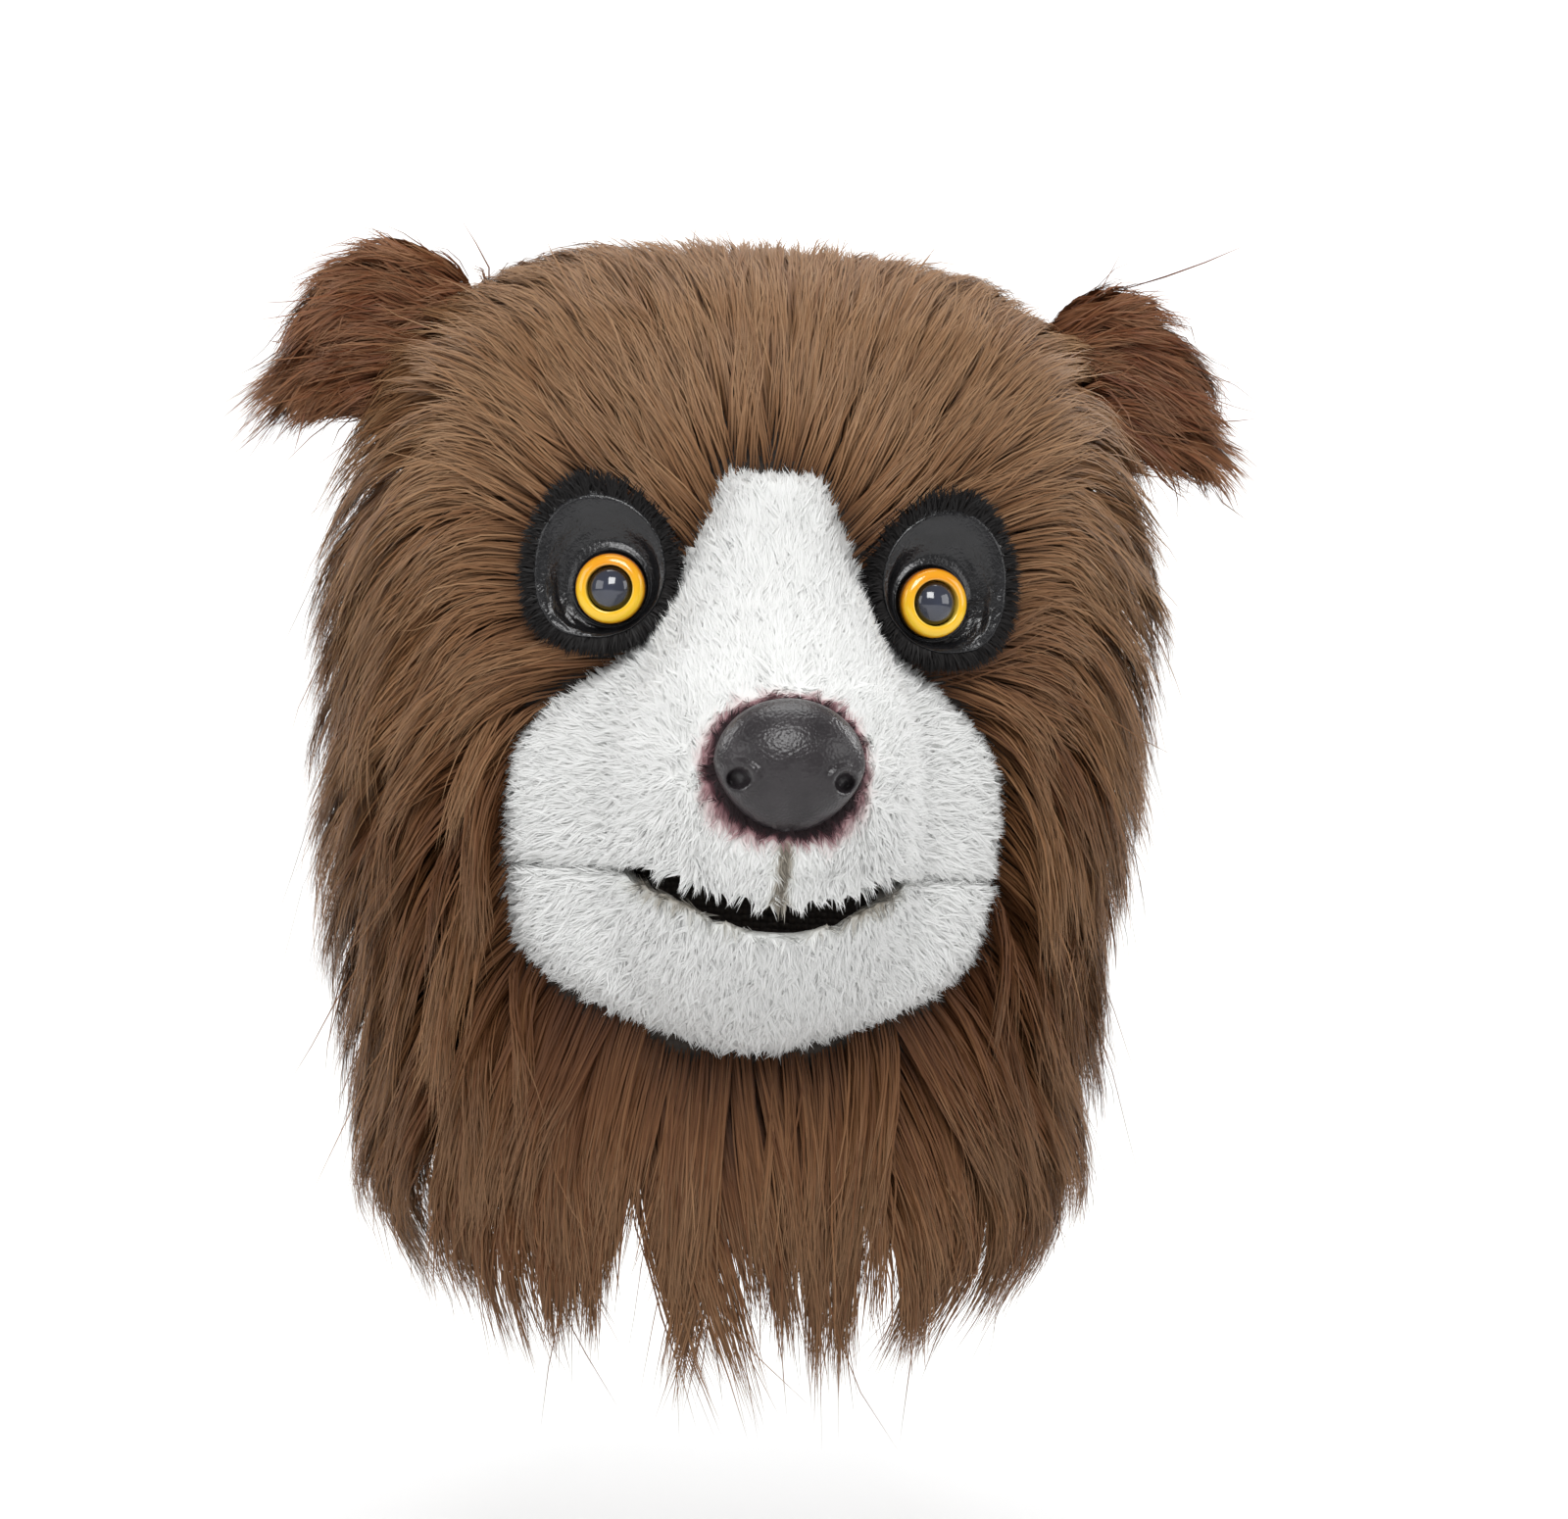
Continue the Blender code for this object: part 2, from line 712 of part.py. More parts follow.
def plush_cutters(word, forward):
    """The white plush with a small gap around it, as two cutters that meet at the mouth."""
    upper = plush_solid(
        "muzzle_" + word,
        lambda share: MUZZLE_TOP_Z + PARTING_GAP,
        lambda share: mouth_z(share) - PARTING_GAP,
        MUZZLE_ROWS, grow=PARTING_GAP, forward=forward,
    )
    lower = plush_solid(
        "jaw_" + word,
        lambda share: mouth_z(share) + PARTING_GAP,
        lambda share: MUZZLE_TOP_Z - MUZZLE_HEIGHT - PARTING_GAP,
        JAW_ROWS, grow=PARTING_GAP, forward=forward,
    )
    return [upper, lower]


def snout_cavity():
    """The hollow of the snout, open to the hood's inside."""
    shape = bmesh.new()
    rings = []
    for step in range(CAVITY_ROWS + 1):
        drop = CAVITY_TOP_DROP + (CAVITY_BOTTOM_DROP - CAVITY_TOP_DROP) * step / CAVITY_ROWS
        z = MUZZLE_TOP_Z - drop * MUZZLE_HEIGHT
        row = row_at(MUZZLE_SECTIONS, drop)
        snout = read_row(MUZZLE_SECTIONS, row)[2]
        half = snout * SNOUT_WIDTH / 2 - MUZZLE_WALL
        points = []
        for column in range(CAVITY_COLUMNS + 1):
            share = 2.0 * column / CAVITY_COLUMNS - 1.0
            x = share * half
            slope_allowance = abs(share) ** 4
            y = muzzle_front(x, z) + MUZZLE_WALL * (1.0 + slope_allowance)
            points.append((x, y, z))
        points.append((half, PLUSH_BACK_Y, z))
        points.append((-half, PLUSH_BACK_Y, z))
        rings.append(ring(shape, points))
    for first, second in zip(rings, rings[1:]):
        join_rings(shape, first, second)
    shape.faces.new(rings[0])
    shape.faces.new(rings[-1])
    return finish_mesh("snout_cavity", shape)


def make_muzzle(head, cavity):
    made = plush_solid(
        "muzzle",
        lambda share: MUZZLE_TOP_Z,
        lambda share: mouth_z(share) + mouth_gap(share),
        MUZZLE_ROWS, "white", lips=("bottom",),
    )
    cut(made, [cavity, head])
    return made


def make_jaw(head, cavity):
    made = plush_solid(
        "jaw",
        lambda share: mouth_z(share) - mouth_gap(share),
        lambda share: MUZZLE_TOP_Z - MUZZLE_HEIGHT,
        JAW_ROWS, "white", lips=("top",),
    )
    cut(made, [cavity, head])
    return made


def ellipsoid(shape, width, depth, height, columns, rows):
    """A round lump about the origin, as the start of the nose and of a nostril."""
    bmesh.ops.create_uvsphere(shape, u_segments=columns, v_segments=rows, radius=0.5)
    bmesh.ops.scale(shape, vec=(width, depth, height), verts=shape.verts)


def nose_tip_y():
    """The nose stands a little in front of the snout at its own height."""
    return muzzle_front(0.0, NOSE_CENTRE_Z) - NOSE_STAND


def nostril_cutter(side):
    """A slanted hole beside the nose's groove."""
    shape = bmesh.new()
    ellipsoid(shape, NOSTRIL_WIDTH, NOSTRIL_DEPTH, NOSTRIL_HEIGHT, NOSTRIL_COLUMNS, NOSTRIL_ROWS)
    for vert in shape.verts:
        vert.co.z -= side * vert.co.x * NOSTRIL_SLANT
    place = Vector((
        side * NOSTRIL_SPACING / 2,
        nose_tip_y() + NOSTRIL_BEHIND_TIP,
        NOSE_CENTRE_Z - NOSTRIL_BELOW_MIDDLE,
    ))
    bmesh.ops.translate(shape, vec=place, verts=shape.verts)
    return finish_mesh("nostril_cutter", shape)


def groove_cutter():
    """A narrow slot down the middle of the nose, from below its middle."""
    shape = bmesh.new()
    bmesh.ops.create_cube(shape, size=1.0)
    bmesh.ops.scale(shape, vec=(GROOVE_WIDTH, GROOVE_DEPTH * 2, GROOVE_LENGTH), verts=shape.verts)
    place = Vector((0, nose_tip_y(), NOSE_CENTRE_Z - GROOVE_LENGTH / 2))
    bmesh.ops.translate(shape, vec=place, verts=shape.verts)
    return finish_mesh("groove_cutter", shape)


def make_nose(plush):
    shape = bmesh.new()
    ellipsoid(shape, NOSE_WIDTH, NOSE_DEPTH, NOSE_HEIGHT, NOSE_COLUMNS, NOSE_ROWS)
    for vert in shape.verts:
        below = max(-vert.co.z / NOSE_HEIGHT, 0.0)
        vert.co.x *= 1.0 - NOSE_NARROWING * below
    place = Vector((0, nose_tip_y() + NOSE_DEPTH / 2, NOSE_CENTRE_Z))
    bmesh.ops.translate(shape, vec=place, verts=shape.verts)
    made = finish_mesh("nose", shape, "nose")
    cut(made, [nostril_cutter(1.0), nostril_cutter(-1.0), groove_cutter()] + plush)
    return made


class Seat:
    """The place of an eye on the hood: its middle and its three directions."""

    def __init__(self, side):
        self.side = side
        x = side * EYE_SPACING / 2
        self.base = Vector((x, hood_front_y(x, EYE_Z), EYE_Z))
        self.out = Vector((side * math.sin(EYE_TURN), -math.cos(EYE_TURN), 0.0))
        self.inward = Vector((-side * math.cos(EYE_TURN), -math.sin(EYE_TURN), 0.0))
        self.up = Vector((0, 0, 1))

    def place(self, direction, distance, height):
        radians = math.radians(direction)
        flat = self.inward * math.cos(radians) + self.up * math.sin(radians)
        return self.base + flat * distance + self.out * height


# Rings of an eye socket from its outer foot over the rim to the floor behind the eye.
# grow: share of the way from the eye's edge to the outline; height: share of SOCKET_RIM
SOCKET_RINGS = (
    # grow, height
    (1.00, 0.35),
    (0.96, 0.80),
    (0.84, 1.02),
    (0.62, 0.95),
    (0.40, 0.72),
    (0.20, 0.66),
    (0.06, 0.72),
)


def socket_ring_points(seat, grow, height, extra=0.0):
    points = []
    for index in range(SOCKET_SIDES):
        direction = 360.0 * index / SOCKET_SIDES
        inner = EYE_DIAMETER / 2 + EYE_GAP
        outer = around(SOCKET_OUTLINE, direction) * EYE_DIAMETER
        distance = inner + (outer - inner) * grow + extra
        points.append(seat.place(direction, distance, height))
    return points


def make_socket(seat, name, head, plush):
    shape = bmesh.new()
    rings = [ring(shape, socket_ring_points(seat, 1.0, -SOCKET_FOOT))]
    for grow, height in SOCKET_RINGS:
        rings.append(ring(shape, socket_ring_points(seat, grow, height * SOCKET_RIM)))
    floor = EYE_STAND - IRIS_THICKNESS - EYE_GAP
    rings.append(ring(shape, socket_ring_points(seat, 0.0, floor)))
    for first, second in zip(rings, rings[1:]):
        join_rings(shape, first, second)
    shape.faces.new(rings[0])
    shape.faces.new(rings[-1])
    made = finish_mesh(name, shape, "socket")
    cut(made, [head] + plush)
    return made


def socket_cutter(seat, name):
    """The socket's outline with a small gap, to part the fur around it."""
    shape = bmesh.new()
    near = ring(shape, socket_ring_points(seat, 1.0, -SOCKET_FOOT, SEAT_GAP))
    far = ring(shape, socket_ring_points(seat, 1.0, SOCKET_CUT_HEIGHT, SEAT_GAP))
    join_rings(shape, near, far)
    shape.faces.new(near)
    shape.faces.new(far)
    return finish_mesh(name, shape)


def turned_on_eye(seat, name, look, profile, tip_height):
    """A round piece about the eye's axis: radius and height pairs from its back to its tip."""
    shape = bmesh.new()
    rings = []
    for distance, height in profile:
        points = [seat.place(360.0 * index / EYE_SIDES, distance, height) for index in range(EYE_SIDES)]
        rings.append(ring(shape, points))
    for first, second in zip(rings, rings[1:]):
        join_rings(shape, first, second)
    shape.faces.new(rings[0])
    close_ring(shape, rings[-1], seat.place(0.0, 0.0, tip_height))
    return finish_mesh(name, shape, look)


def make_eye(seat, word):
    """A yellow ring with a well in its middle, and a dark dome that stands in the well."""
    radius = EYE_DIAMETER / 2
    pupil_radius = PUPIL_DIAMETER / 2
    well_radius = pupil_radius + EYE_GAP
    well = EYE_STAND - PUPIL_WELL_DEPTH
    iris_profile = (
        (radius, EYE_STAND - IRIS_THICKNESS),
        (radius, EYE_STAND - IRIS_RISE * 0.2),
        (radius * 0.94, EYE_STAND),
        (well_radius * 1.3, EYE_STAND + IRIS_RISE * 0.8),
        (well_radius, EYE_STAND + IRIS_RISE),
        (well_radius, well),
    )
    turned_on_eye(seat, "iris_" + word, "iris", iris_profile, well)
    edge = EYE_STAND + PUPIL_RISE * 0.5
    pupil_profile = (
        (pupil_radius, well + EYE_GAP),
        (pupil_radius, edge - PUPIL_RISE * 0.2),
        (pupil_radius * 0.94, edge),
        (pupil_radius * 0.70, edge + PUPIL_RISE * 0.62),
        (pupil_radius * 0.35, edge + PUPIL_RISE * 0.92),
    )
    turned_on_eye(seat, "pupil_" + word, "pupil", pupil_profile, edge + PUPIL_RISE)


# Rings of an ear from the middle of its cup over the edge to the middle of its back.
# spread: share of the outline; forward: share of EAR_THICKNESS; cup: share of EAR_CUP_DEPTH
EAR_RINGS = (
    # spread, forward, cup
    (0.30, 0.34, -1.00),
    (0.58, 0.40, -0.55),
    (0.82, 0.40, 0.00),
    (1.00, 0.12, 0.00),
    (0.88, -0.30, 0.00),
    (0.55, -0.52, 0.00),
)


def ear_points(row, spread, height, extra):
    name, side, across, drop, turn, size = row
    middle = Vector((side * across * HOOD_WIDTH / 2, 0.0, HOOD_WALL - drop * HOOD_HEIGHT))
    points = []
    for column in range(EAR_COLUMNS):
        direction = 360.0 * column / EAR_COLUMNS
        reach = around(EAR_OUTLINE, direction) * EAR_SIZE * size * spread
        tufted = direction < EAR_TUFTS_TO or direction > 360.0 + EAR_TUFTS_FROM
        if spread == 1.0 and tufted:
            reach *= EAR_TUFTS[column % 2]
        reach += extra
        radians = math.radians(direction + turn)
        across_by = math.cos(radians) * reach
        point = Vector((side * across_by, -height, math.sin(radians) * reach))
        points.append(middle + point)
    return points


def ear_shape(row, extra):
    shape = bmesh.new()
    rings = []
    for spread, forward, cup in EAR_RINGS:
        height = forward * EAR_THICKNESS + cup * EAR_CUP_DEPTH
        height += extra if forward > 0 else -extra
        rings.append(ring(shape, ear_points(row, spread, height, extra)))
    for first, second in zip(rings, rings[1:]):
        join_rings(shape, first, second)
    middle = sum((vert.co for vert in rings[0]), Vector()) / EAR_COLUMNS
    close_ring(shape, rings[0], middle)
    middle = sum((vert.co for vert in rings[-1]), Vector()) / EAR_COLUMNS
    close_ring(shape, rings[-1], middle)
    return shape


def make_ear(row, head):
    made = finish_mesh(row[0], ear_shape(row, 0.0), "fur")
    cut(made, [head])
    return made


def ear_cutter(row):
    return finish_mesh(row[0] + "_cutter", ear_shape(row, SEAT_GAP))


def build():
    clear_scene()
    head = head_cutter()
    plush = plush_cutters("seat_cutter", 0.0)
    cavity = snout_cavity()
    make_hood()
    make_muzzle(head, cavity)
    make_jaw(head, cavity)
    make_nose(plush)
    parting = plush_cutters("parting_cutter", FUR_LENGTH)
    for word, side in (("left", 1.0), ("right", -1.0)):
        seat = Seat(side)
        make_socket(seat, "eye_socket_" + word, head, plush)
        make_eye(seat, word)
        parting.append(socket_cutter(seat, "socket_cutter_" + word))
    for row in EARS:
        make_ear(row, head)
        parting.append(ear_cutter(row))
    for name in ("fur_crown", "fur_side_left", "fur_side_right", "fur_beard", "fur_back"):
        FurPanel(name).make(parting)


build()
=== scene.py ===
# %% [markdown]
# # A bear mask
# The real mask is a costume head that is pulled over the wearer's own. A cloth hood
# carries long brown faux fur, a stuffed white plush muzzle and jaw, a rubber nose and
# glossy plastic eyes. The frame gives the true size and place of each piece, and the
# cells below give every piece the surface that a camera sees.

import math

import bmesh
import bpy
import numpy as np
from mathutils import Matrix, Vector, kdtree, noise
from mathutils.bvhtree import BVHTree


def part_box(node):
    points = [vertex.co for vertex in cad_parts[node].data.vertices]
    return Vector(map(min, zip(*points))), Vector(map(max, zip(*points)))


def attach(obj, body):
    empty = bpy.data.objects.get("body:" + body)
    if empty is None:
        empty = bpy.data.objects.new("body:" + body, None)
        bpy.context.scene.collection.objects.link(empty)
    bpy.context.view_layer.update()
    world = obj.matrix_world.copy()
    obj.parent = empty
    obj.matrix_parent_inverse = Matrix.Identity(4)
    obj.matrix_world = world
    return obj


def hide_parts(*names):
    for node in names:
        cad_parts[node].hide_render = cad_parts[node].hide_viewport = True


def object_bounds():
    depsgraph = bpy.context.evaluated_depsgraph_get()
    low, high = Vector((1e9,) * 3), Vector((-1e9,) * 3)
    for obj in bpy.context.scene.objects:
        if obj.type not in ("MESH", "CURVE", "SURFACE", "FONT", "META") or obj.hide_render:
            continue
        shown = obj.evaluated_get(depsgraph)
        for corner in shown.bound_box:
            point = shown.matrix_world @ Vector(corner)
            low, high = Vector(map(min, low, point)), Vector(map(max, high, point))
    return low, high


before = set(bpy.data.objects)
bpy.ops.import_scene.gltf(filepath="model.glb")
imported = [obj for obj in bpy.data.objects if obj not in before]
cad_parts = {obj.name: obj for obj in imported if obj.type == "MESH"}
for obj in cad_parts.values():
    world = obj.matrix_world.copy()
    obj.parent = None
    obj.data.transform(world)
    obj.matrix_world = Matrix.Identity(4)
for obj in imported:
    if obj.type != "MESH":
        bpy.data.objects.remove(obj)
cad_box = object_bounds()
dice = np.random.default_rng(41)
print("pieces in the frame:", sorted(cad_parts))

# %% [markdown]
# The camera stands in front of the mask, a little to the left of its middle, at the
# height of the nose. A long lens keeps the snout from looking too large. The camera is
# also rolled by a few degrees, because the head in the picture leans to one side.

# %% The camera
CAMERA_AZIMUTH = math.radians(-6.3)
CAMERA_ROLL = math.radians(2.4)
CAMERA_DISTANCE = 1.5
CAMERA_TARGET = Vector((0.0148, -0.0016, -0.136))
SENSOR_WIDTH = 36.0
VIEW_WIDTH = 0.480

camera_data = bpy.data.cameras.new("camera")
camera_data.sensor_width = SENSOR_WIDTH
camera_data.lens = SENSOR_WIDTH * CAMERA_DISTANCE / VIEW_WIDTH
camera = bpy.data.objects.new("camera", camera_data)
bpy.context.scene.collection.objects.link(camera)
towards_camera = Vector((math.sin(CAMERA_AZIMUTH), -math.cos(CAMERA_AZIMUTH), 0.0))
upright = Matrix.Rotation(CAMERA_AZIMUTH, 4, "Z") @ Matrix.Rotation(math.pi / 2, 4, "X")
rolled = upright @ Matrix.Rotation(CAMERA_ROLL, 4, "Z")
camera.matrix_world = Matrix.Translation(CAMERA_TARGET + towards_camera * CAMERA_DISTANCE) @ rolled
bpy.context.scene.camera = camera
print("camera at", tuple(round(value, 3) for value in camera.location))

# %% [markdown]
# A product picture has a pale ground that runs up behind the object without a line, and
# large soft lights. Here the ground is a wide sheet with a curved bend, and the lights
# are big area lamps: one high in front, one on each side, and one behind for the rim.

# %% The ground and the lights
GROUND_Z = -0.400
GROUND_HALF_WIDTH = 4.0
GROUND_FRONT_Y = -2.6
BEND_START_Y = 1.7
BEND_RADIUS = 0.8
WALL_TOP_Z = 2.6
BEND_STEPS = 16


def make_ground():
    """A strip that is flat in front and bends up into a wall behind the mask."""
    profile = [(GROUND_FRONT_Y, GROUND_Z)]
    for step in range(BEND_STEPS + 1):
        turn = math.pi / 2 * step / BEND_STEPS
        y = BEND_START_Y + math.sin(turn) * BEND_RADIUS
        profile.append((y, GROUND_Z + (1 - math.cos(turn)) * BEND_RADIUS))
    profile.append((BEND_START_Y + BEND_RADIUS, WALL_TOP_Z))
    shape = bmesh.new()
    line = [shape.verts.new((-GROUND_HALF_WIDTH, y, z)) for y, z in profile]
    edges = [shape.edges.new(pair) for pair in zip(line, line[1:])]
    pushed = bmesh.ops.extrude_edge_only(shape, edges=edges)
    moved = [part for part in pushed["geom"] if isinstance(part, bmesh.types.BMVert)]
    bmesh.ops.translate(shape, vec=(2 * GROUND_HALF_WIDTH, 0, 0), verts=moved)
    bmesh.ops.recalc_face_normals(shape, faces=shape.faces)
    mesh = bpy.data.meshes.new("ground")
    shape.to_mesh(mesh)
    shape.free()
    mesh.shade_smooth()
    return bpy.data.objects.new("ground", mesh)


def add_lamp(name, place, target, size, watts):
    """A square soft lamp that looks at a target and isn't seen itself."""
    data = bpy.data.lights.new(name, "AREA")
    data.shape = "SQUARE"
    data.size = size
    data.energy = watts
    lamp = bpy.data.objects.new(name, data)
    lamp.location = place
    lamp.rotation_euler = (Vector(target) - Vector(place)).to_track_quat("-Z", "Y").to_euler()
    lamp.visible_camera = False
    bpy.context.scene.collection.objects.link(lamp)
    return lamp


ground = make_ground()
bpy.context.scene.collection.objects.link(ground)
WALL_MIDDLE = (0.0, 2.5, 0.0)
add_lamp("lamp_high_front", (-0.20, -1.75, 1.15), CAMERA_TARGET, 1.0, 27.0)
add_lamp("lamp_left", (-1.7, -0.9, 0.35), CAMERA_TARGET, 1.1, 7.0)
add_lamp("lamp_right", (1.7, -0.8, 0.45), CAMERA_TARGET, 1.1, 8.0)
add_lamp("lamp_top", (0.0, 0.35, 1.6), CAMERA_TARGET, 1.2, 14.0)
add_lamp("lamp_wall_left", (-1.5, 0.9, 0.8), WALL_MIDDLE, 1.0, 30.0)
add_lamp("lamp_wall_right", (1.5, 0.9, 0.8), WALL_MIDDLE, 1.0, 30.0)

FILL_STRENGTH = 0.24
world = bpy.data.worlds.new("studio")
world.use_nodes = True
tree = world.node_tree
fill = tree.nodes["Background"]
fill.inputs["Color"].default_value = (1.0, 1.0, 1.0, 1.0)
fill.inputs["Strength"].default_value = FILL_STRENGTH
backdrop = tree.nodes.new("ShaderNodeBackground")
backdrop.inputs["Color"].default_value = (1.0, 1.0, 1.0, 1.0)
chooser = tree.nodes.new("ShaderNodeMixShader")
ray = tree.nodes.new("ShaderNodeLightPath")
tree.links.new(ray.outputs["Is Camera Ray"], chooser.inputs["Fac"])
tree.links.new(fill.outputs["Background"], chooser.inputs[1])
tree.links.new(backdrop.outputs["Background"], chooser.inputs[2])
tree.links.new(chooser.outputs["Shader"], tree.nodes["World Output"].inputs["Surface"])
bpy.context.scene.world = world
bpy.context.scene.view_settings.view_transform = "Standard"
print("ground and", len(bpy.data.lights), "lamps are in place")

# %% [markdown]
# Every finish is a Principled shader whose colour comes from a few nodes. A small helper
# adds nodes and joins them, so that each finish below reads as a short recipe.

# %% A helper for finishes
STRAND_UV = "OFBake"


class Finish:
    """A material in the making: nodes are added by type and linked by socket name."""

    def __init__(self, name, roughness, **sockets):
        self.material = bpy.data.materials.new(name)
        self.material.use_nodes = True
        self.tree = self.material.node_tree
        self.shader = self.tree.nodes["Principled BSDF"]
        self.shader.inputs["Roughness"].default_value = roughness
        for socket, value in sockets.items():
            self.shader.inputs[socket.replace("_", " ")].default_value = value

    def add(self, kind, settings=None, **inputs):
        node = self.tree.nodes.new("ShaderNode" + kind)
        for setting, value in (settings or {}).items():
            setattr(node, setting, value)
        for socket, value in inputs.items():
            self.feed(node, socket.replace("_", " "), value)
        return node

    def feed(self, node, socket, value):
        """Give a socket a plain value, or link another node's output to it."""
        target = node.inputs[int(socket)] if socket.isdigit() else node.inputs[socket]
        if isinstance(value, bpy.types.NodeSocket):
            self.tree.links.new(value, target)
        else:
            target.default_value = value

    def ramp(self, factor, stops):
        """A colour ramp with its stops given as (place, (red, green, blue))."""
        node = self.add("ValToRGB", Fac=factor)
        elements = node.color_ramp.elements
        while len(elements) < len(stops):
            elements.new(0.5)
        for element, (place, colour) in zip(elements, stops):
            element.position = place
            element.color = (*colour, 1.0)
        return node.outputs["Color"]

    def mix(self, factor, first, second, blend="MIX"):
        """Two colours mixed by a factor; a plain colour is a (red, green, blue)."""
        node = self.add("Mix", {"data_type": "RGBA", "blend_type": blend})
        colours = [(*value, 1.0) if isinstance(value, tuple) else value for value in (first, second)]
        self.feed(node, "0", factor)
        self.feed(node, "6", colours[0])
        self.feed(node, "7", colours[1])
        return node.outputs[2]

    def math(self, operation, first, second=0.0, clamp=False):
        node = self.add("Math", {"operation": operation, "use_clamp": clamp})
        self.feed(node, "0", first)
        self.feed(node, "1", second)
        return node.outputs[0]

    def colour(self, value):
        self.feed(self.shader, "Base Color", value)

    def bump(self, height, distance, strength=1.0):
        node = self.add("Bump", Height=height, Distance=distance, Strength=strength)
        self.feed(self.shader, "Normal", node.outputs["Normal"])


def object_place(finish):
    return finish.add("TexCoord").outputs["Object"]


def strand_coordinates(finish):
    """The two numbers that each strand carries in its UV map."""
    uv = finish.add("UVMap", {"uv_map": STRAND_UV}).outputs["UV"]
    parts = finish.add("SeparateXYZ", Vector=uv)
    return uv, parts.outputs["X"], parts.outputs["Y"]


# %% [markdown]
# Long faux fur is never one brown. The roots are dark and a little red, their darkness partly
# the fur's own and partly painted shade deep in the coat, the middle is warm, and the tips
# are bleached. Each strand here is a thin ribbon with a UV map of its own meaning: across
# is its tone, and up is the way from root to tip. The finish needs nothing else, so it
# moves with the strand and looks the same from every side.

# %% The fur's finish
def fur_finish(name, redness):
    finish = Finish(name, 0.50, Specular_IOR_Level=0.22)
    uv, tone, along = strand_coordinates(finish)
    body = finish.ramp(tone, [
        (0.00, (0.070 + redness, 0.024, 0.009)),
        (0.28, (0.130 + redness, 0.052, 0.020)),
        (0.50, (0.225 + redness, 0.108, 0.047)),
        (0.74, (0.345 + redness * 0.6, 0.195, 0.100)),
        (1.00, (0.500, 0.330, 0.200)),
    ])
    # Darker towards the root: partly the fur's own tone, partly painted shade deep in the coat.
    depth = finish.ramp(along, [
        (0.00, (0.52, 0.44, 0.38)),
        (0.30, (0.80, 0.76, 0.72)),
        (0.62, (1.00, 1.00, 1.00)),
        (1.00, (1.12, 1.13, 1.13)),
    ])
    shaded = finish.mix(1.0, body, depth, "MULTIPLY")
    tip_share = finish.ramp(along, [(0.60, (0, 0, 0)), (1.0, (0.30, 0.30, 0.30))])
    tipped = finish.mix(tip_share, shaded, (0.440, 0.300, 0.180))
    stretched = finish.add("Mapping", Vector=uv, Scale=(420.0, 3.0, 1.0))
    streak = finish.add("TexNoise", Vector=stretched.outputs[0], Scale=1.0, Detail=1.0)
    grain = finish.ramp(streak.outputs["Fac"], [(0.3, (0.88, 0.88, 0.88)), (0.7, (1.10, 1.10, 1.09))])
    brown = finish.mix(1.0, tipped, grain, "MULTIPLY")
    dyed = finish.ramp(tone, [(0.05, (1, 1, 1)), (0.20, (0, 0, 0))])
    finish.colour(finish.mix(dyed, brown, (0.008, 0.007, 0.007)))
    return finish.material


brown_fur = fur_finish("brown_fur", 0.0)
ear_fur = fur_finish("ear_fur", 0.035)
print("fur finishes:", brown_fur.name, ear_fur.name)

# %% [markdown]
# The fur follows the form that the frame gives it. The hood and the coat over it are
# measured with rays that run in from outside to an axis up the middle of the head. Below
# the top of the axis the rays are level, and above it they fan out over the crown. The
# result is a map of the whole head: how far out the hood is, and how thick the coat.

# %% Measure the hood and the coat
AXIS_TOP_Z = -0.090
FAN_RADIUS = 0.090
MAP_LOW = -0.345
MAP_HIGH = AXIS_TOP_Z + FAN_RADIUS * math.pi / 2
MAP_ROWS = 180
MAP_COLUMNS = 256
RAY_START = 0.30

FUR_NODES = ("fur_crown", "fur_side_left", "fur_side_right", "fur_beard", "fur_back")
heights = np.linspace(MAP_LOW, MAP_HIGH, MAP_ROWS)
angles = np.linspace(-math.pi, math.pi, MAP_COLUMNS, endpoint=False)


def tree_of(names):
    """One search tree over some nodes, and the name of the node that each face is from."""
    corners, faces, owners = [], [], []
    for name in names:
        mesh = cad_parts[name].data
        start = len(corners)
        corners.extend(vert.co.copy() for vert in mesh.vertices)
        for polygon in mesh.polygons:
            faces.append([start + index for index in polygon.vertices])
            owners.append(name)
    return BVHTree.FromPolygons(corners, faces), owners


def axis_ray(angle, height):
    """The point on the axis and the direction out of it for a place on the map."""
    lift = max(height - AXIS_TOP_Z, 0.0) / FAN_RADIUS
    origin = Vector((0.0, 0.0, min(height, AXIS_TOP_Z)))
    level = math.cos(lift)
    return origin, Vector((math.sin(angle) * level, -math.cos(angle) * level, math.sin(lift)))


def measure(tree, owners, ring_heights, ring_angles):
    """How far out the first face is, seen from outside, and which node it belongs to."""
    radii = np.full((len(ring_heights), len(ring_angles)), np.nan)
    names = np.full(radii.shape, "", dtype="<U20")
    for row, height in enumerate(ring_heights):
        for column, angle in enumerate(ring_angles):
            origin, out = axis_ray(angle, height)
            hit, normal, index, distance = tree.ray_cast(origin + out * RAY_START, -out, RAY_START)
            if hit is not None:
                radii[row, column] = RAY_START - distance
                names[row, column] = owners[index]
    return radii, names


def bridge_gaps(radii, ring_angles):
    """Fill a ring's gaps from their two sides; an empty ring repeats the one above it."""
    filled = radii.copy()
    for row in range(len(filled) - 1, -1, -1):
        known = np.isfinite(filled[row])
        if known.sum() >= 3:
            filled[row] = np.interp(ring_angles, ring_angles[known], filled[row][known], period=math.tau)
        else:
            filled[row] = filled[row + 1]
    return filled


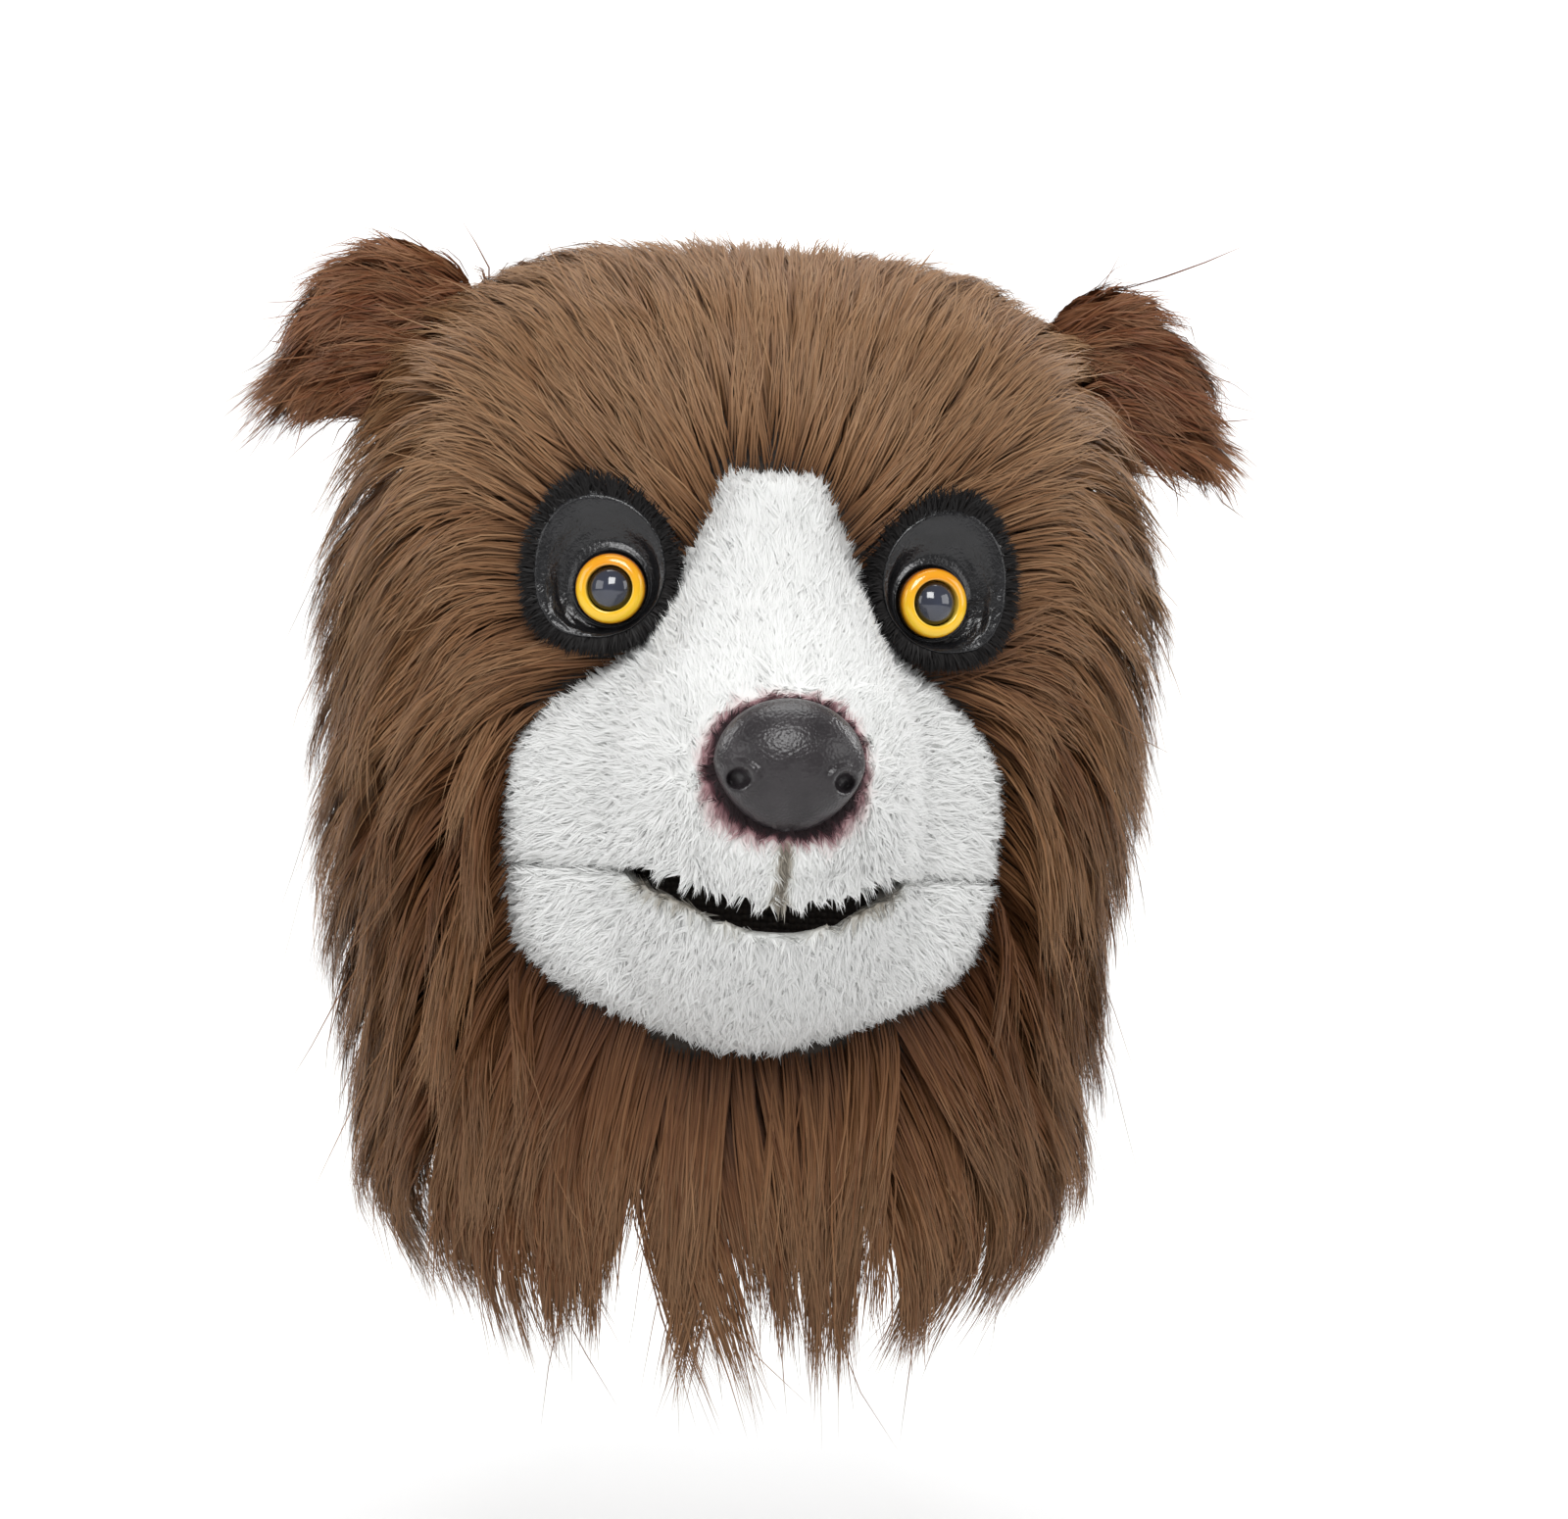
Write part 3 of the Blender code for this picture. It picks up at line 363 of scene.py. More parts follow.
def soften(grid, passes):
    """Average each place of a map with its neighbours; the angles go round and meet."""
    for _ in range(passes):
        grid = (grid + np.roll(grid, 1, 1) + np.roll(grid, -1, 1)) / 3
        above = np.vstack((grid[:1], grid[:-1]))
        below = np.vstack((grid[1:], grid[-1:]))
        grid = (grid + above + below) / 3
    return grid


hood_tree, hood_owners = tree_of(["hood"])
coat_tree, coat_owners = tree_of(FUR_NODES)
every_tree, every_owner = tree_of(sorted(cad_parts))
hood_radii, _ = measure(hood_tree, hood_owners, heights, angles)
RIM_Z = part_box("hood")[0].z
hood_radii[heights < RIM_Z + 0.002] = np.nan
coat_radii, _ = measure(coat_tree, coat_owners, heights, angles)
_, seen_node = measure(every_tree, every_owner, heights, angles)
hood_map = soften(bridge_gaps(hood_radii, angles), 4)
coat_map = soften(bridge_gaps(coat_radii, angles), 7)
thickness_map = np.maximum(coat_map - hood_map, 0.002)
print("coat thickness in mm:", np.round(thickness_map[::30, ::64] * 1000, 1).tolist())

# %% [markdown]
# Strands need to know, at any point in space, how high they are over the hood and which
# way is out. A class holds the maps and answers that for thousands of points at once.

# %% The head as a surface for fur
def unit(vectors):
    return vectors / np.maximum(np.linalg.norm(vectors, axis=-1, keepdims=True), 1e-9)


class HeadSurface:
    """The hood's outer side, continued straight down below its rim."""

    def __init__(self):
        grid_heights, grid_angles = np.meshgrid(heights, angles, indexing="ij")
        places = self.place(grid_angles, grid_heights, hood_map)
        up = np.gradient(places, axis=0)
        round_it = (np.roll(places, -1, 1) - np.roll(places, 1, 1)) / 2
        normals = unit(np.cross(round_it, up))
        normals[-1] = (0, 0, 1)
        self.normals = unit(np.stack([soften(normals[..., k], 3) for k in range(3)], -1))
        self.places = places

    def place(self, angle, height, radius):
        lift = np.maximum(height - AXIS_TOP_Z, 0.0) / FAN_RADIUS
        level = np.cos(lift) * radius
        z = np.minimum(height, AXIS_TOP_Z) + np.sin(lift) * radius
        return np.stack([np.sin(angle) * level, -np.cos(angle) * level, z], -1)

    def locate(self, points):
        """The angle, map height and distance from the axis of some points."""
        level = np.hypot(points[..., 0], points[..., 1])
        over = np.maximum(points[..., 2] - AXIS_TOP_Z, 0.0)
        height = np.minimum(points[..., 2], AXIS_TOP_Z) + np.arctan2(over, level) * FAN_RADIUS
        return np.arctan2(points[..., 0], -points[..., 1]), height, np.hypot(level, over)

    def read(self, grid, angle, height):
        """A map's value between its grid places."""
        row = np.clip((height - MAP_LOW) / (MAP_HIGH - MAP_LOW) * (MAP_ROWS - 1), 0, MAP_ROWS - 1.001)
        column = (angle + math.pi) / math.tau * MAP_COLUMNS
        row0, column0 = np.floor(row).astype(int), np.floor(column).astype(int)
        down, side = row - row0, column - column0
        if grid.ndim == 3:
            down, side = down[..., None], side[..., None]
        left, right = column0 % MAP_COLUMNS, (column0 + 1) % MAP_COLUMNS
        low = grid[row0, left] * (1 - side) + grid[row0, right] * side
        high = grid[row0 + 1, left] * (1 - side) + grid[row0 + 1, right] * side
        return low * (1 - down) + high * down

    def measure(self, points):
        """Height over the hood, the way out, and the coat's thickness there."""
        angle, height, distance = self.locate(points)
        lift = distance - self.read(hood_map, angle, height)
        return lift, unit(self.read(self.normals, angle, height)), self.read(thickness_map, angle, height)

    def scatter(self, wanted, names):
        """Random places on the hood that one of these nodes covers, with even spacing."""
        rows = np.arange(MAP_ROWS - 1)
        step_up = np.linalg.norm(self.places[1:] - self.places[:-1], axis=-1)
        step_round = np.linalg.norm(np.roll(self.places, -1, 1) - self.places, axis=-1)[:-1]
        area = step_up * step_round
        area[~np.isin(seen_node[:-1], names)] = 0.0
        area[heights[:-1] < RIM_Z] = 0.0
        cells = dice.choice(area.size, wanted, p=(area / area.sum()).ravel())
        row, column = rows[cells // MAP_COLUMNS], cells % MAP_COLUMNS
        height = heights[row] + dice.random(wanted) * (heights[1] - heights[0])
        angle = angles[column] + (dice.random(wanted)) * (angles[1] - angles[0])
        return self.place(angle, height, self.read(hood_map, angle, height))


head = HeadSurface()
print("hood normals at the front:", np.round(head.normals[60, MAP_COLUMNS // 2], 2))

# %% [markdown]
# Fur is combed. On this mask it runs outwards from the middle of the face: up over the
# forehead, sideways over the cheeks, and it hangs down at the sides and under the jaw.
# The comb is a rule that gives a direction for every point: away from the face, plus
# gravity, which counts for little on the forehead and for much on the sides and back.

# %% The comb
FACE_MIDDLE = np.array((0.0, -0.080, -0.100))


def ramp_between(value, start, end):
    """0 before the start, 1 after the end, and smooth between."""
    share = np.clip((value - start) / (end - start), 0.0, 1.0)
    return share * share * (3 - 2 * share)


def comb(points):
    away = unit(points - FACE_MIDDLE)
    angle = np.abs(np.arctan2(points[:, 0], -points[:, 1]))
    z = points[:, 2]
    beside = ramp_between(np.abs(points[:, 0]), 0.050, 0.105)
    below = ramp_between(-z, 0.190, 0.215)
    front_pull = ramp_between(-z, 0.075, 0.170) * 1.9 * np.maximum(beside, below)
    side_pull = 0.25 + 1.25 * ramp_between(-z, -0.01, 0.09)
    back_pull = 0.2 + 1.8 * ramp_between(-z, -0.02, 0.05)
    aside = ramp_between(angle, math.radians(40), math.radians(85))
    behind = ramp_between(angle, math.radians(100), math.radians(150))
    pull = front_pull * (1 - aside) + side_pull * aside * (1 - behind) + back_pull * behind
    hang = ramp_between(-z, 0.235, 0.260) * 3.0
    away[:, 2] -= pull + hang
    return unit(away)


print("comb beside the muzzle:", np.round(comb(np.array([[0.075, -0.06, -0.14]])), 2))

# %% [markdown]
# A strand is not placed alone. Fur gathers in locks, and locks gather in larger locks.
# So a few guide hairs are grown first: each step follows the comb and climbs until it
# is as high as the coat. Then every guide is drawn towards the lock that it is part of.

# %% Grow guide hairs
GUIDE_STEPS = 10
CLIMB_REACH = 0.85
STEADINESS = 0.35


def turned(vectors, axes, turns):
    """Turn vectors about unit axes by angles in radians."""
    cosine, sine = np.cos(turns)[:, None], np.sin(turns)[:, None]
    along = (vectors * axes).sum(1, keepdims=True) * axes
    return vectors * cosine + np.cross(axes, vectors) * sine + along * (1 - cosine)


def grow(surface, roots, rule, lengths, fullness, turns):
    """Paths of hairs from their roots, as points and the way out at each point."""
    here = roots.copy()
    lift, out, thick = surface.measure(here)
    heading = unit(rule(here) + out * 1.2)
    points, outs = [here], [out]
    for step in range(GUIDE_STEPS):
        lift, out, thick = surface.measure(here)
        flow = rule(here)
        flow = unit(flow - out * (flow * out).sum(1, keepdims=True))
        flow = turned(flow, out, turns)
        slope = np.clip((thick * fullness - lift) / (CLIMB_REACH * thick + 0.004), -0.7, 1.3)
        wish = unit(flow + out * slope[:, None])
        heading = unit(heading * STEADINESS + wish * (1 - STEADINESS))
        here = here + heading * (lengths / GUIDE_STEPS)[:, None]
        points.append(here)
        outs.append(out)
    return np.stack(points, 1), np.stack(outs, 1)


def nearest_of(centres, points):
    """For each point, the number of the nearest centre."""
    search = kdtree.KDTree(len(centres))
    for number, centre in enumerate(centres):
        search.insert(centre, number)
    search.balance()
    return np.array([search.find(point)[1] for point in points])


def gather(paths, leaders, which, pull):
    """Draw each path towards its leader's, more and more towards the tip."""
    share = np.linspace(0, 1, paths.shape[1])[None, :, None] ** 1.4
    return paths + (leaders[which] - paths) * share * pull


# %% [markdown]
# The strands are then laid along the guides. A strand starts at its own root and closes
# up with its guide on the way, so the lock ends in a point. Each strand has its own
# length, stray and wave. It is built as a ribbon of a few quads that ends in a triangle,
# and all the strands of a panel are written into one mesh as arrays, which is the quick
# way to make tens of thousands of small things.

# %% Lay strands along the guides
COAT_SHADING = 0.55


class Strands:
    """Ribbons that are collected as arrays and turned into one mesh."""

    def __init__(self):
        self.points, self.normals, self.faces, self.uvs = [], [], [], []
        self.count = 0

    def add(self, paths, outs, half_widths, tones, twist, profile):
        """One ribbon for each path; its width lies across the strand and along the coat."""
        number, rings = paths.shape[:2]
        along = unit(np.gradient(paths, axis=1))
        side = unit(np.cross(along, outs))
        flat_out = np.cross(side, along)
        turn = twist[:, None, None]
        facing = flat_out * np.cos(turn) - side * np.sin(turn)
        side = side * np.cos(turn) + flat_out * np.sin(turn)
        facing = unit(facing * (1 - COAT_SHADING) + outs * COAT_SHADING)
        reach = half_widths[:, None, None] * np.array(profile)[None, :-1, None]
        left = paths[:, :-1] - side[:, :-1] * reach
        right = paths[:, :-1] + side[:, :-1] * reach
        pairs = np.stack([left, right], 2).reshape(number, -1, 3)
        block = np.concatenate([pairs, paths[:, -1:]], 1)
        per = block.shape[1]
        start = self.count + np.arange(number)[:, None] * per
        lower = np.arange(rings - 2) * 2
        pattern = np.stack([lower, lower + 1, lower + 3, lower + 2], 1).ravel()
        pattern = np.concatenate([pattern, [per - 3, per - 2, per - 1]]).astype(int)
        sizes = np.array([4] * (rings - 2) + [3])
        ring_of_vertex = np.append(np.repeat(np.arange(rings - 1), 2), rings - 1)
        tone_rows = np.broadcast_to(tones.reshape(number, -1), (number, rings))[:, ring_of_vertex]
        rise = np.broadcast_to(ring_of_vertex / (rings - 1), tone_rows.shape)
        self.points.append(block.reshape(-1, 3))
        self.normals.append(facing[:, ring_of_vertex].reshape(-1, 3))
        self.faces.append((start + pattern[None, :], sizes))
        self.uvs.append(np.stack([tone_rows, rise], -1)[:, pattern].reshape(-1, 2))
        self.count += number * per

    def write(self, name):
        """The collected ribbons as a mesh with the strand UV map."""
        mesh = bpy.data.meshes.new(name)
        points = np.concatenate(self.points)
        loops = np.concatenate([pattern.ravel() for pattern, sizes in self.faces])
        totals = np.concatenate([np.tile(sizes, len(pattern)) for pattern, sizes in self.faces])
        starts = np.concatenate([[0], np.cumsum(totals)[:-1]])
        mesh.vertices.add(len(points))
        mesh.vertices.foreach_set("co", points.astype(np.float32).ravel())
        mesh.loops.add(len(loops))
        mesh.loops.foreach_set("vertex_index", loops.astype(np.int32))
        mesh.polygons.add(len(totals))
        mesh.polygons.foreach_set("loop_start", starts.astype(np.int32))
        layer = mesh.uv_layers.new(name=STRAND_UV)
        layer.data.foreach_set("uv", np.concatenate(self.uvs).astype(np.float32).ravel())
        mesh.update(calc_edges=True)
        mesh.validate()
        mesh.shade_smooth()
        mesh.normals_split_custom_set_from_vertices(np.concatenate(self.normals).tolist())
        return mesh


def along_path(paths, shares):
    """Points on the paths at shares that may run a little past 1."""
    last = paths.shape[1] - 1
    place = shares * last
    first = np.clip(np.floor(place).astype(int), 0, last - 1)
    part = (place - first)[..., None]
    rows = np.arange(len(paths))[:, None]
    return paths[rows, first] * (1 - part) + paths[rows, first + 1] * part


SIZE_MARGIN = 0.0175
size_low = np.array(cad_box[0]) - SIZE_MARGIN
size_high = np.array(cad_box[1]) + SIZE_MARGIN


def inside_size(paths):
    """Which strands stay within the mask's own size and a little loose fibre."""
    return ((paths > size_low) & (paths < size_high)).all((1, 2))


def lay_strands(strands, surface, roots, guides, guide_outs, which, look):
    """Strands between their roots and the guides that they belong to."""
    number, rings = len(roots), look["rings"]
    length = look["shortest"] + (look["longest"] - look["shortest"]) * dice.random(number)
    loose = dice.random(number) < look["loose"]
    length = np.where(loose, length * 1.2, length)
    shares = np.linspace(0, 1, rings)[None, :] * length[:, None]
    paths = along_path(guides[which], shares)
    outs = unit(along_path(guide_outs[which], np.clip(shares, 0, 1)))
    offset = (roots - guides[which, 0])[:, None, :]
    clump = np.where(loose, 0.1, look["clump"])[:, None]
    closing = 1.0 - clump * np.clip(shares, 0, 1) ** look["closing"]
    paths = paths + offset * closing[..., None]
    stray = dice.normal(0, 1, (number, 1, 3)) * look["stray"] * np.where(loose, 3.0, 1.0)[:, None, None]
    paths = paths + stray * (shares ** 2)[..., None]
    phase = dice.random((number, 1)) * math.tau
    wave = np.sin(phase + shares * look["waves"] * math.tau) * look["wave"] * shares
    across = unit(np.cross(outs, np.gradient(paths, axis=1)))
    paths = paths + across * wave[..., None]
    widths = look["width"] / 2 * (0.65 + 0.7 * dice.random(number))
    twist = dice.normal(0, look["twist"], number)
    tones = look["tones"]
    if "dye" in look:
        dye = look["dye"](paths.reshape(-1, 3)).reshape(number, rings)
        tones = tones[:, None] * (1.0 - dye)
    kept = look["keep"](paths) if "keep" in look else np.full(number, True)
    kept = kept & inside_size(paths)
    strands.add(paths[kept], outs[kept], widths[kept], tones[kept], twist[kept], look["profile"])
    return kept


print("guides take", GUIDE_STEPS, "steps")

# %% [markdown]
# The eyes sit in black patches, and the fur round a patch is dyed black too. So the
# places of the eyes and the outline of the patches are settled before the fur is made.
# Each eye looks a little outwards, and everything on it is measured from its own middle.

# %% Places of the eyes
EYE_X = 0.0446
EYE_Z = -0.089
EYE_TURN = math.radians(12.0)
EYE_RADIUS = 0.0102
EYE_STAND = 0.0125
IRIS_BACK = 0.0080
PATCH_OUTLINE = (
    # direction in degrees (0 is inwards to the nose, 90 is up), distance in metres
    (0.0, 0.0155), (35.0, 0.0194), (65.0, 0.0245), (90.0, 0.0290), (115.0, 0.0318),
    (140.0, 0.0290), (165.0, 0.0249), (190.0, 0.0233), (215.0, 0.0216), (245.0, 0.0163),
    (280.0, 0.0135), (320.0, 0.0131),
)


class EyeSeat:
    """The middle and the directions of one eye, measured on the frame's own ring."""

    def __init__(self, word, side):
        self.word, self.side = word, side
        back_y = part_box("iris_" + word)[1].y
        self.out = Vector((side * math.sin(EYE_TURN), -math.cos(EYE_TURN), 0.0))
        self.inward = Vector((-side * math.cos(EYE_TURN), -math.sin(EYE_TURN), 0.0))
        base_y = back_y + math.cos(EYE_TURN) * IRIS_BACK - math.sin(EYE_TURN) * EYE_RADIUS
        self.base = Vector((side * EYE_X, base_y, EYE_Z))
        self.edge = self.base + self.out * EYE_STAND
        self.up = Vector((0, 0, 1))

    def place(self, direction, distance, height):
        flat = self.inward * math.cos(direction) + self.up * math.sin(direction)
        return self.edge + flat * distance + self.out * height


def patch_reach(directions):
    """Distance of the patch's edge from the eye's middle, smooth round the eye."""
    table = np.array(PATCH_OUTLINE)
    knots = np.linspace(0, math.tau, 240, endpoint=False)
    reach = np.interp(knots, np.radians(table[:, 0]), table[:, 1], period=math.tau)
    for _ in range(6):
        reach = (np.roll(reach, 2) + reach + np.roll(reach, -2)) / 3
    return np.interp(directions, knots, reach, period=math.tau)


seats = (EyeSeat("left", 1.0), EyeSeat("right", -1.0))
DYE_REACH = 0.0034


def dye_at(points):
    """1 beside an eye patch, falling to 0 a little way off it."""
    strongest = np.zeros(len(points))
    for seat in seats:
        away = points - np.array(seat.base)
        inward, rise = away @ np.array(seat.inward), away @ np.array(seat.up)
        beyond = np.hypot(inward, rise) - patch_reach(np.arctan2(rise, inward) % math.tau)
        near = 1.0 - ramp_between(beyond, -0.001, DYE_REACH)
        strongest = np.maximum(strongest, near * (points[:, 1] < 0))
    return strongest


print("eye seats:", [tuple(round(value, 4) for value in seat.edge) for seat in seats])

# %% [markdown]
# Each brown panel of the mask is cut from the same fur, but it is not the same all over:
# short and smooth on the forehead, long and loose at the sides, and longest under the
# jaw. A small table gives each panel its number of strands, rings, stray and width; the
# lengths and how strongly the locks gather follow from where a strand is rooted. The
# guides cover the whole head at once, so locks run across seams.

# %% Guides over the whole head
GUIDE_COUNT = 4200
LOCK_COUNT = 560
# Darker fur on the lower front cheeks: partly the fur's own tone, partly painted shade.
DARK_CHEEK = -0.17


def fur_length(points):
    """Length of the fur where a strand is rooted, in metres."""
    angle = np.abs(np.arctan2(points[:, 0], -points[:, 1]))
    z = points[:, 2]
    forehead = 0.036 + 0.014 * ramp_between(z, -0.05, 0.0)
    cheek = 0.050 + 0.012 * ramp_between(-z, 0.12, 0.20)
    length = forehead + (cheek - forehead) * ramp_between(-z, 0.045, 0.11)
    side = 0.062
    length = length + (side - length) * ramp_between(angle, math.radians(45), math.radians(80))
    low_front = 0.070 + 0.012 * ramp_between(-z, 0.225, 0.25)
    under = ramp_between(-z, 0.19, 0.235)
    low = low_front + (0.066 - low_front) * ramp_between(angle, math.radians(35), math.radians(80))
    return length + (low - length) * under


def fur_tone(points):
    """How light the fur is where a strand is rooted: 0 is dark red brown, 1 is tan."""
    angle = np.abs(np.arctan2(points[:, 0], -points[:, 1]))
    z = points[:, 2]
    tone = np.full(len(points), 0.50)
    # The forehead is made lighter and the lower front cheeks darker: partly the fur's own tone, partly
    # painted light on the forehead and painted shade on the cheeks.
    tone += 0.10 * ramp_between(z, -0.11, -0.05) * (1 - ramp_between(angle, 0.9, 1.5))
    tone += DARK_CHEEK * ramp_between(-z, 0.10, 0.15) * (1 - ramp_between(angle, 1.0, 1.5))
    return tone


def looseness(points):
    """0 where the fur lies smooth on the forehead, 1 where it hangs in loose locks."""
    angle = np.abs(np.arctan2(points[:, 0], -points[:, 1]))
    smooth = ramp_between(points[:, 2], -0.105, -0.060) * (1 - ramp_between(angle, 0.75, 1.45))
    return 1.0 - smooth


def side_share(points):
    """1 at the two sides of the head, 0 in front and behind."""
    angle = np.abs(np.arctan2(points[:, 0], -points[:, 1]))
    return ramp_between(angle, 0.7, 1.25) * (1 - ramp_between(angle, 1.9, 2.6))


guide_roots = head.scatter(GUIDE_COUNT, FUR_NODES)
lock_pick = dice.choice(GUIDE_COUNT, LOCK_COUNT, replace=False)
lock_roots = guide_roots[lock_pick]
lock_of_guide = nearest_of(lock_roots, guide_roots)
lock_loose = looseness(lock_roots)
lock_turn = dice.normal(0, 1, LOCK_COUNT) * np.radians(3.0 + 7.0 * lock_loose)
lock_full = 0.98 + (dice.random(LOCK_COUNT) - 0.5) * (0.12 + 0.26 * lock_loose)
lock_full += 0.16 * side_share(lock_roots)
lock_tone = dice.normal(0, 1, LOCK_COUNT) * (0.020 + 0.040 * lock_loose)
guide_turn = lock_turn[lock_of_guide] + dice.normal(0, math.radians(5), GUIDE_COUNT)
guide_full = lock_full[lock_of_guide] + dice.normal(0, 0.04, GUIDE_COUNT)
guide_length = fur_length(guide_roots) * (0.88 + 0.24 * dice.random(GUIDE_COUNT))
guides, guide_outs = grow(head, guide_roots, comb, guide_length, guide_full, guide_turn)
gathering = (0.15 + 0.27 * looseness(guide_roots))[:, None, None]
guides = gather(guides, guides[lock_pick], lock_of_guide, gathering)
print("guides:", guides.shape, "lowest point", round(float(guides[..., 2].min()), 4))

# %% Strands of each panel
STRAND_PROFILE = (0.6, 0.95, 1.0, 0.85, 0.55, 0.0)
SHORT_PROFILE = (0.7, 1.0, 0.95, 0.6, 0.0)
PLUSH_OVERLAP = 0.004
PANELS = {
    # panel: strands, rings, stray in metres, width in metres
    "fur_crown": (23000, 5, 0.0013, 0.00046),
    "fur_side_left": (19500, 6, 0.0020, 0.00050),
    "fur_side_right": (19500, 6, 0.0020, 0.00050),
    "fur_beard": (12500, 6, 0.0022, 0.00050),
    "fur_back": (8500, 5, 0.0024, 0.00095),
}
plush_points = np.concatenate([
    np.array([vert.co[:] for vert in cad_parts[name].data.vertices]) for name in ("muzzle", "jaw")
])
plush_heights = np.linspace(plush_points[:, 2].min(), plush_points[:, 2].max(), 40)
plush_widths = np.array([
    np.abs(plush_points[np.abs(plush_points[:, 2] - height) < 0.005, 0]).max() for height in plush_heights
])


def clear_of_plush(paths):
    """Which strands leave the white plush free; only their tips may lie on its edge."""
    x, y, z = (paths[..., axis] for axis in range(3))
    reach = np.interp(z, plush_heights, plush_widths, left=0.0, right=0.0) - PLUSH_OVERLAP
    return ~((np.abs(x) < reach) & (y < -0.03)).any(1)


def finished(piece, name, replaced):
    """Give a new piece to the root body and let it stand for its nodes."""
    bpy.context.scene.collection.objects.link(piece)
    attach(piece, "root")
    if replaced:
        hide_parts(*replaced)
    triangles = sum(len(polygon.vertices) - 2 for polygon in piece.data.polygons)
    print(name, "has", triangles, "triangles")
    return piece


def make_panel(panel):
    wanted, rings, stray, width = PANELS[panel]
    roots = head.scatter(wanted, (panel,))
    which = nearest_of(guide_roots, roots)
    tones = fur_tone(roots) + lock_tone[lock_of_guide[which]] + dice.normal(0, 0.055, wanted)
    look = {
        "rings": rings, "clump": 0.38 + 0.32 * looseness(roots), "closing": 1.25, "stray": stray,
        "shortest": 0.62, "longest": 1.08, "waves": 1.1, "wave": 0.0009, "loose": 0.025,
        "width": width, "twist": math.radians(22), "tones": np.clip(tones, 0.22, 0.98),
        "profile": STRAND_PROFILE if rings == 6 else SHORT_PROFILE,
        "dye": dye_at, "keep": clear_of_plush,
    }
    strands = Strands()
    lay_strands(strands, head, roots, guides, guide_outs, which, look)
    mesh = strands.write(panel + "_strands")
    mesh.materials.append(brown_fur)
    piece = bpy.data.objects.new(panel + "_strands", mesh)
    return finished(piece, piece.name, (panel,))


for panel in PANELS:
    make_panel(panel)

# %% [markdown]
# Under the fur is a hood of dark knitted cloth, which shows at the neck and between the
# roots. It is one closed shell over the head with an opening behind the snout. A grid is
# bent round the head on the measured map, the oval opening is cut out, and the sheet is
# then given its thickness inwards.

# %% The hood
HOOD_COLUMNS = 96
HOOD_ROWS = 48
HOOD_WALL = 0.0025
FACE_HALF_WIDTH = 0.033
FACE_HALF_HEIGHT = 0.050
FACE_Z = -0.155


def wrapped_grid(columns, rows, place):
    """A grid bent into a tube: place(turn, share) gives each point; the seam is merged."""
    shape = bmesh.new()
    bmesh.ops.create_grid(shape, x_segments=columns, y_segments=rows, size=0.5)
    turns = {vert: vert.co.x + 0.5 for vert in shape.verts}
    shares = {vert: vert.co.y + 0.5 for vert in shape.verts}
    layer = shape.loops.layers.uv.new(STRAND_UV)
    for face in shape.faces:
        for loop in face.loops:
            loop[layer].uv = (turns[loop.vert], shares[loop.vert])
    for vert in shape.verts:
        vert.co = place(turns[vert] * math.tau, shares[vert])
    bmesh.ops.remove_doubles(shape, verts=shape.verts, dist=0.00001)
    return shape


def backing_finish():
    finish = Finish("backing", 0.92, Sheen_Weight=0.3)
    uv, round_it, up = strand_coordinates(finish)
    courses = finish.add("Mapping", Vector=uv, Scale=(260.0, 150.0, 1.0))
    knit = finish.add("TexVoronoi", {"feature": "F1"}, Vector=courses.outputs[0], Scale=1.0, Randomness=0.35)
    finish.bump(knit.outputs["Distance"], 0.0005, 0.9)
    finish.colour(finish.ramp(knit.outputs["Distance"], [
        (0.0, (0.050, 0.037, 0.028)),
        (0.8, (0.022, 0.017, 0.014)),
    ]))
    return finish.material


def face_share(point):
    """1 on the oval of the face opening, less inside it; the back of the head is far out."""
    if point.y > 0:
        return 9.0
    return math.hypot(point.x / FACE_HALF_WIDTH, (point.z - FACE_Z) / FACE_HALF_HEIGHT)


def make_hood():
    def place(turn, share):
        angle = turn - math.pi
        height = MAP_HIGH + (RIM_Z - MAP_HIGH) * share
        radius = head.read(hood_map, np.array([angle]), np.array([height]))
        return Vector(head.place(np.array([angle]), np.array([height]), radius)[0])

    shape = wrapped_grid(HOOD_COLUMNS, HOOD_ROWS, place)
    for vert in shape.verts:
        share = face_share(vert.co)
        if 0.93 < share < 1.07:
            vert.co.x /= share
            vert.co.z = FACE_Z + (vert.co.z - FACE_Z) / share
    behind = [face for face in shape.faces if face_share(face.calc_center_median()) < 1.0]
    bmesh.ops.delete(shape, geom=behind, context="FACES")
    bmesh.ops.recalc_face_normals(shape, faces=shape.faces)
    top = max(shape.faces, key=lambda face: face.calc_center_median().z)
    if top.normal.z < 0:
        bmesh.ops.reverse_faces(shape, faces=shape.faces)
    area = sum(face.calc_area() for face in shape.faces)
    bmesh.ops.solidify(shape, geom=shape.faces[:], thickness=HOOD_WALL)
    mesh = bpy.data.meshes.new("hood_cloth")
    shape.to_mesh(mesh)
    shape.free()
    mesh.shade_smooth()
    mesh.materials.append(backing_finish())
    piece = finished(bpy.data.objects.new("hood_cloth", mesh), "hood_cloth", ("hood",))
    print("hood cloth area in square metres:", round(area, 4))
    return piece


make_hood()

# %% [markdown]
# An ear is a flat round pad of backing with fur on both sides. The fur starts at the
# head, runs outwards over the cup and the rim, and hangs down at the outer edge. A
# smoothed and shrunken copy of the frame's ear is the pad, and strands grow on it.

# %% The ears
EAR_FUR = 0.0075
EAR_STRANDS = 7000
EAR_GUIDES = 520
EAR_LOCKS = 90


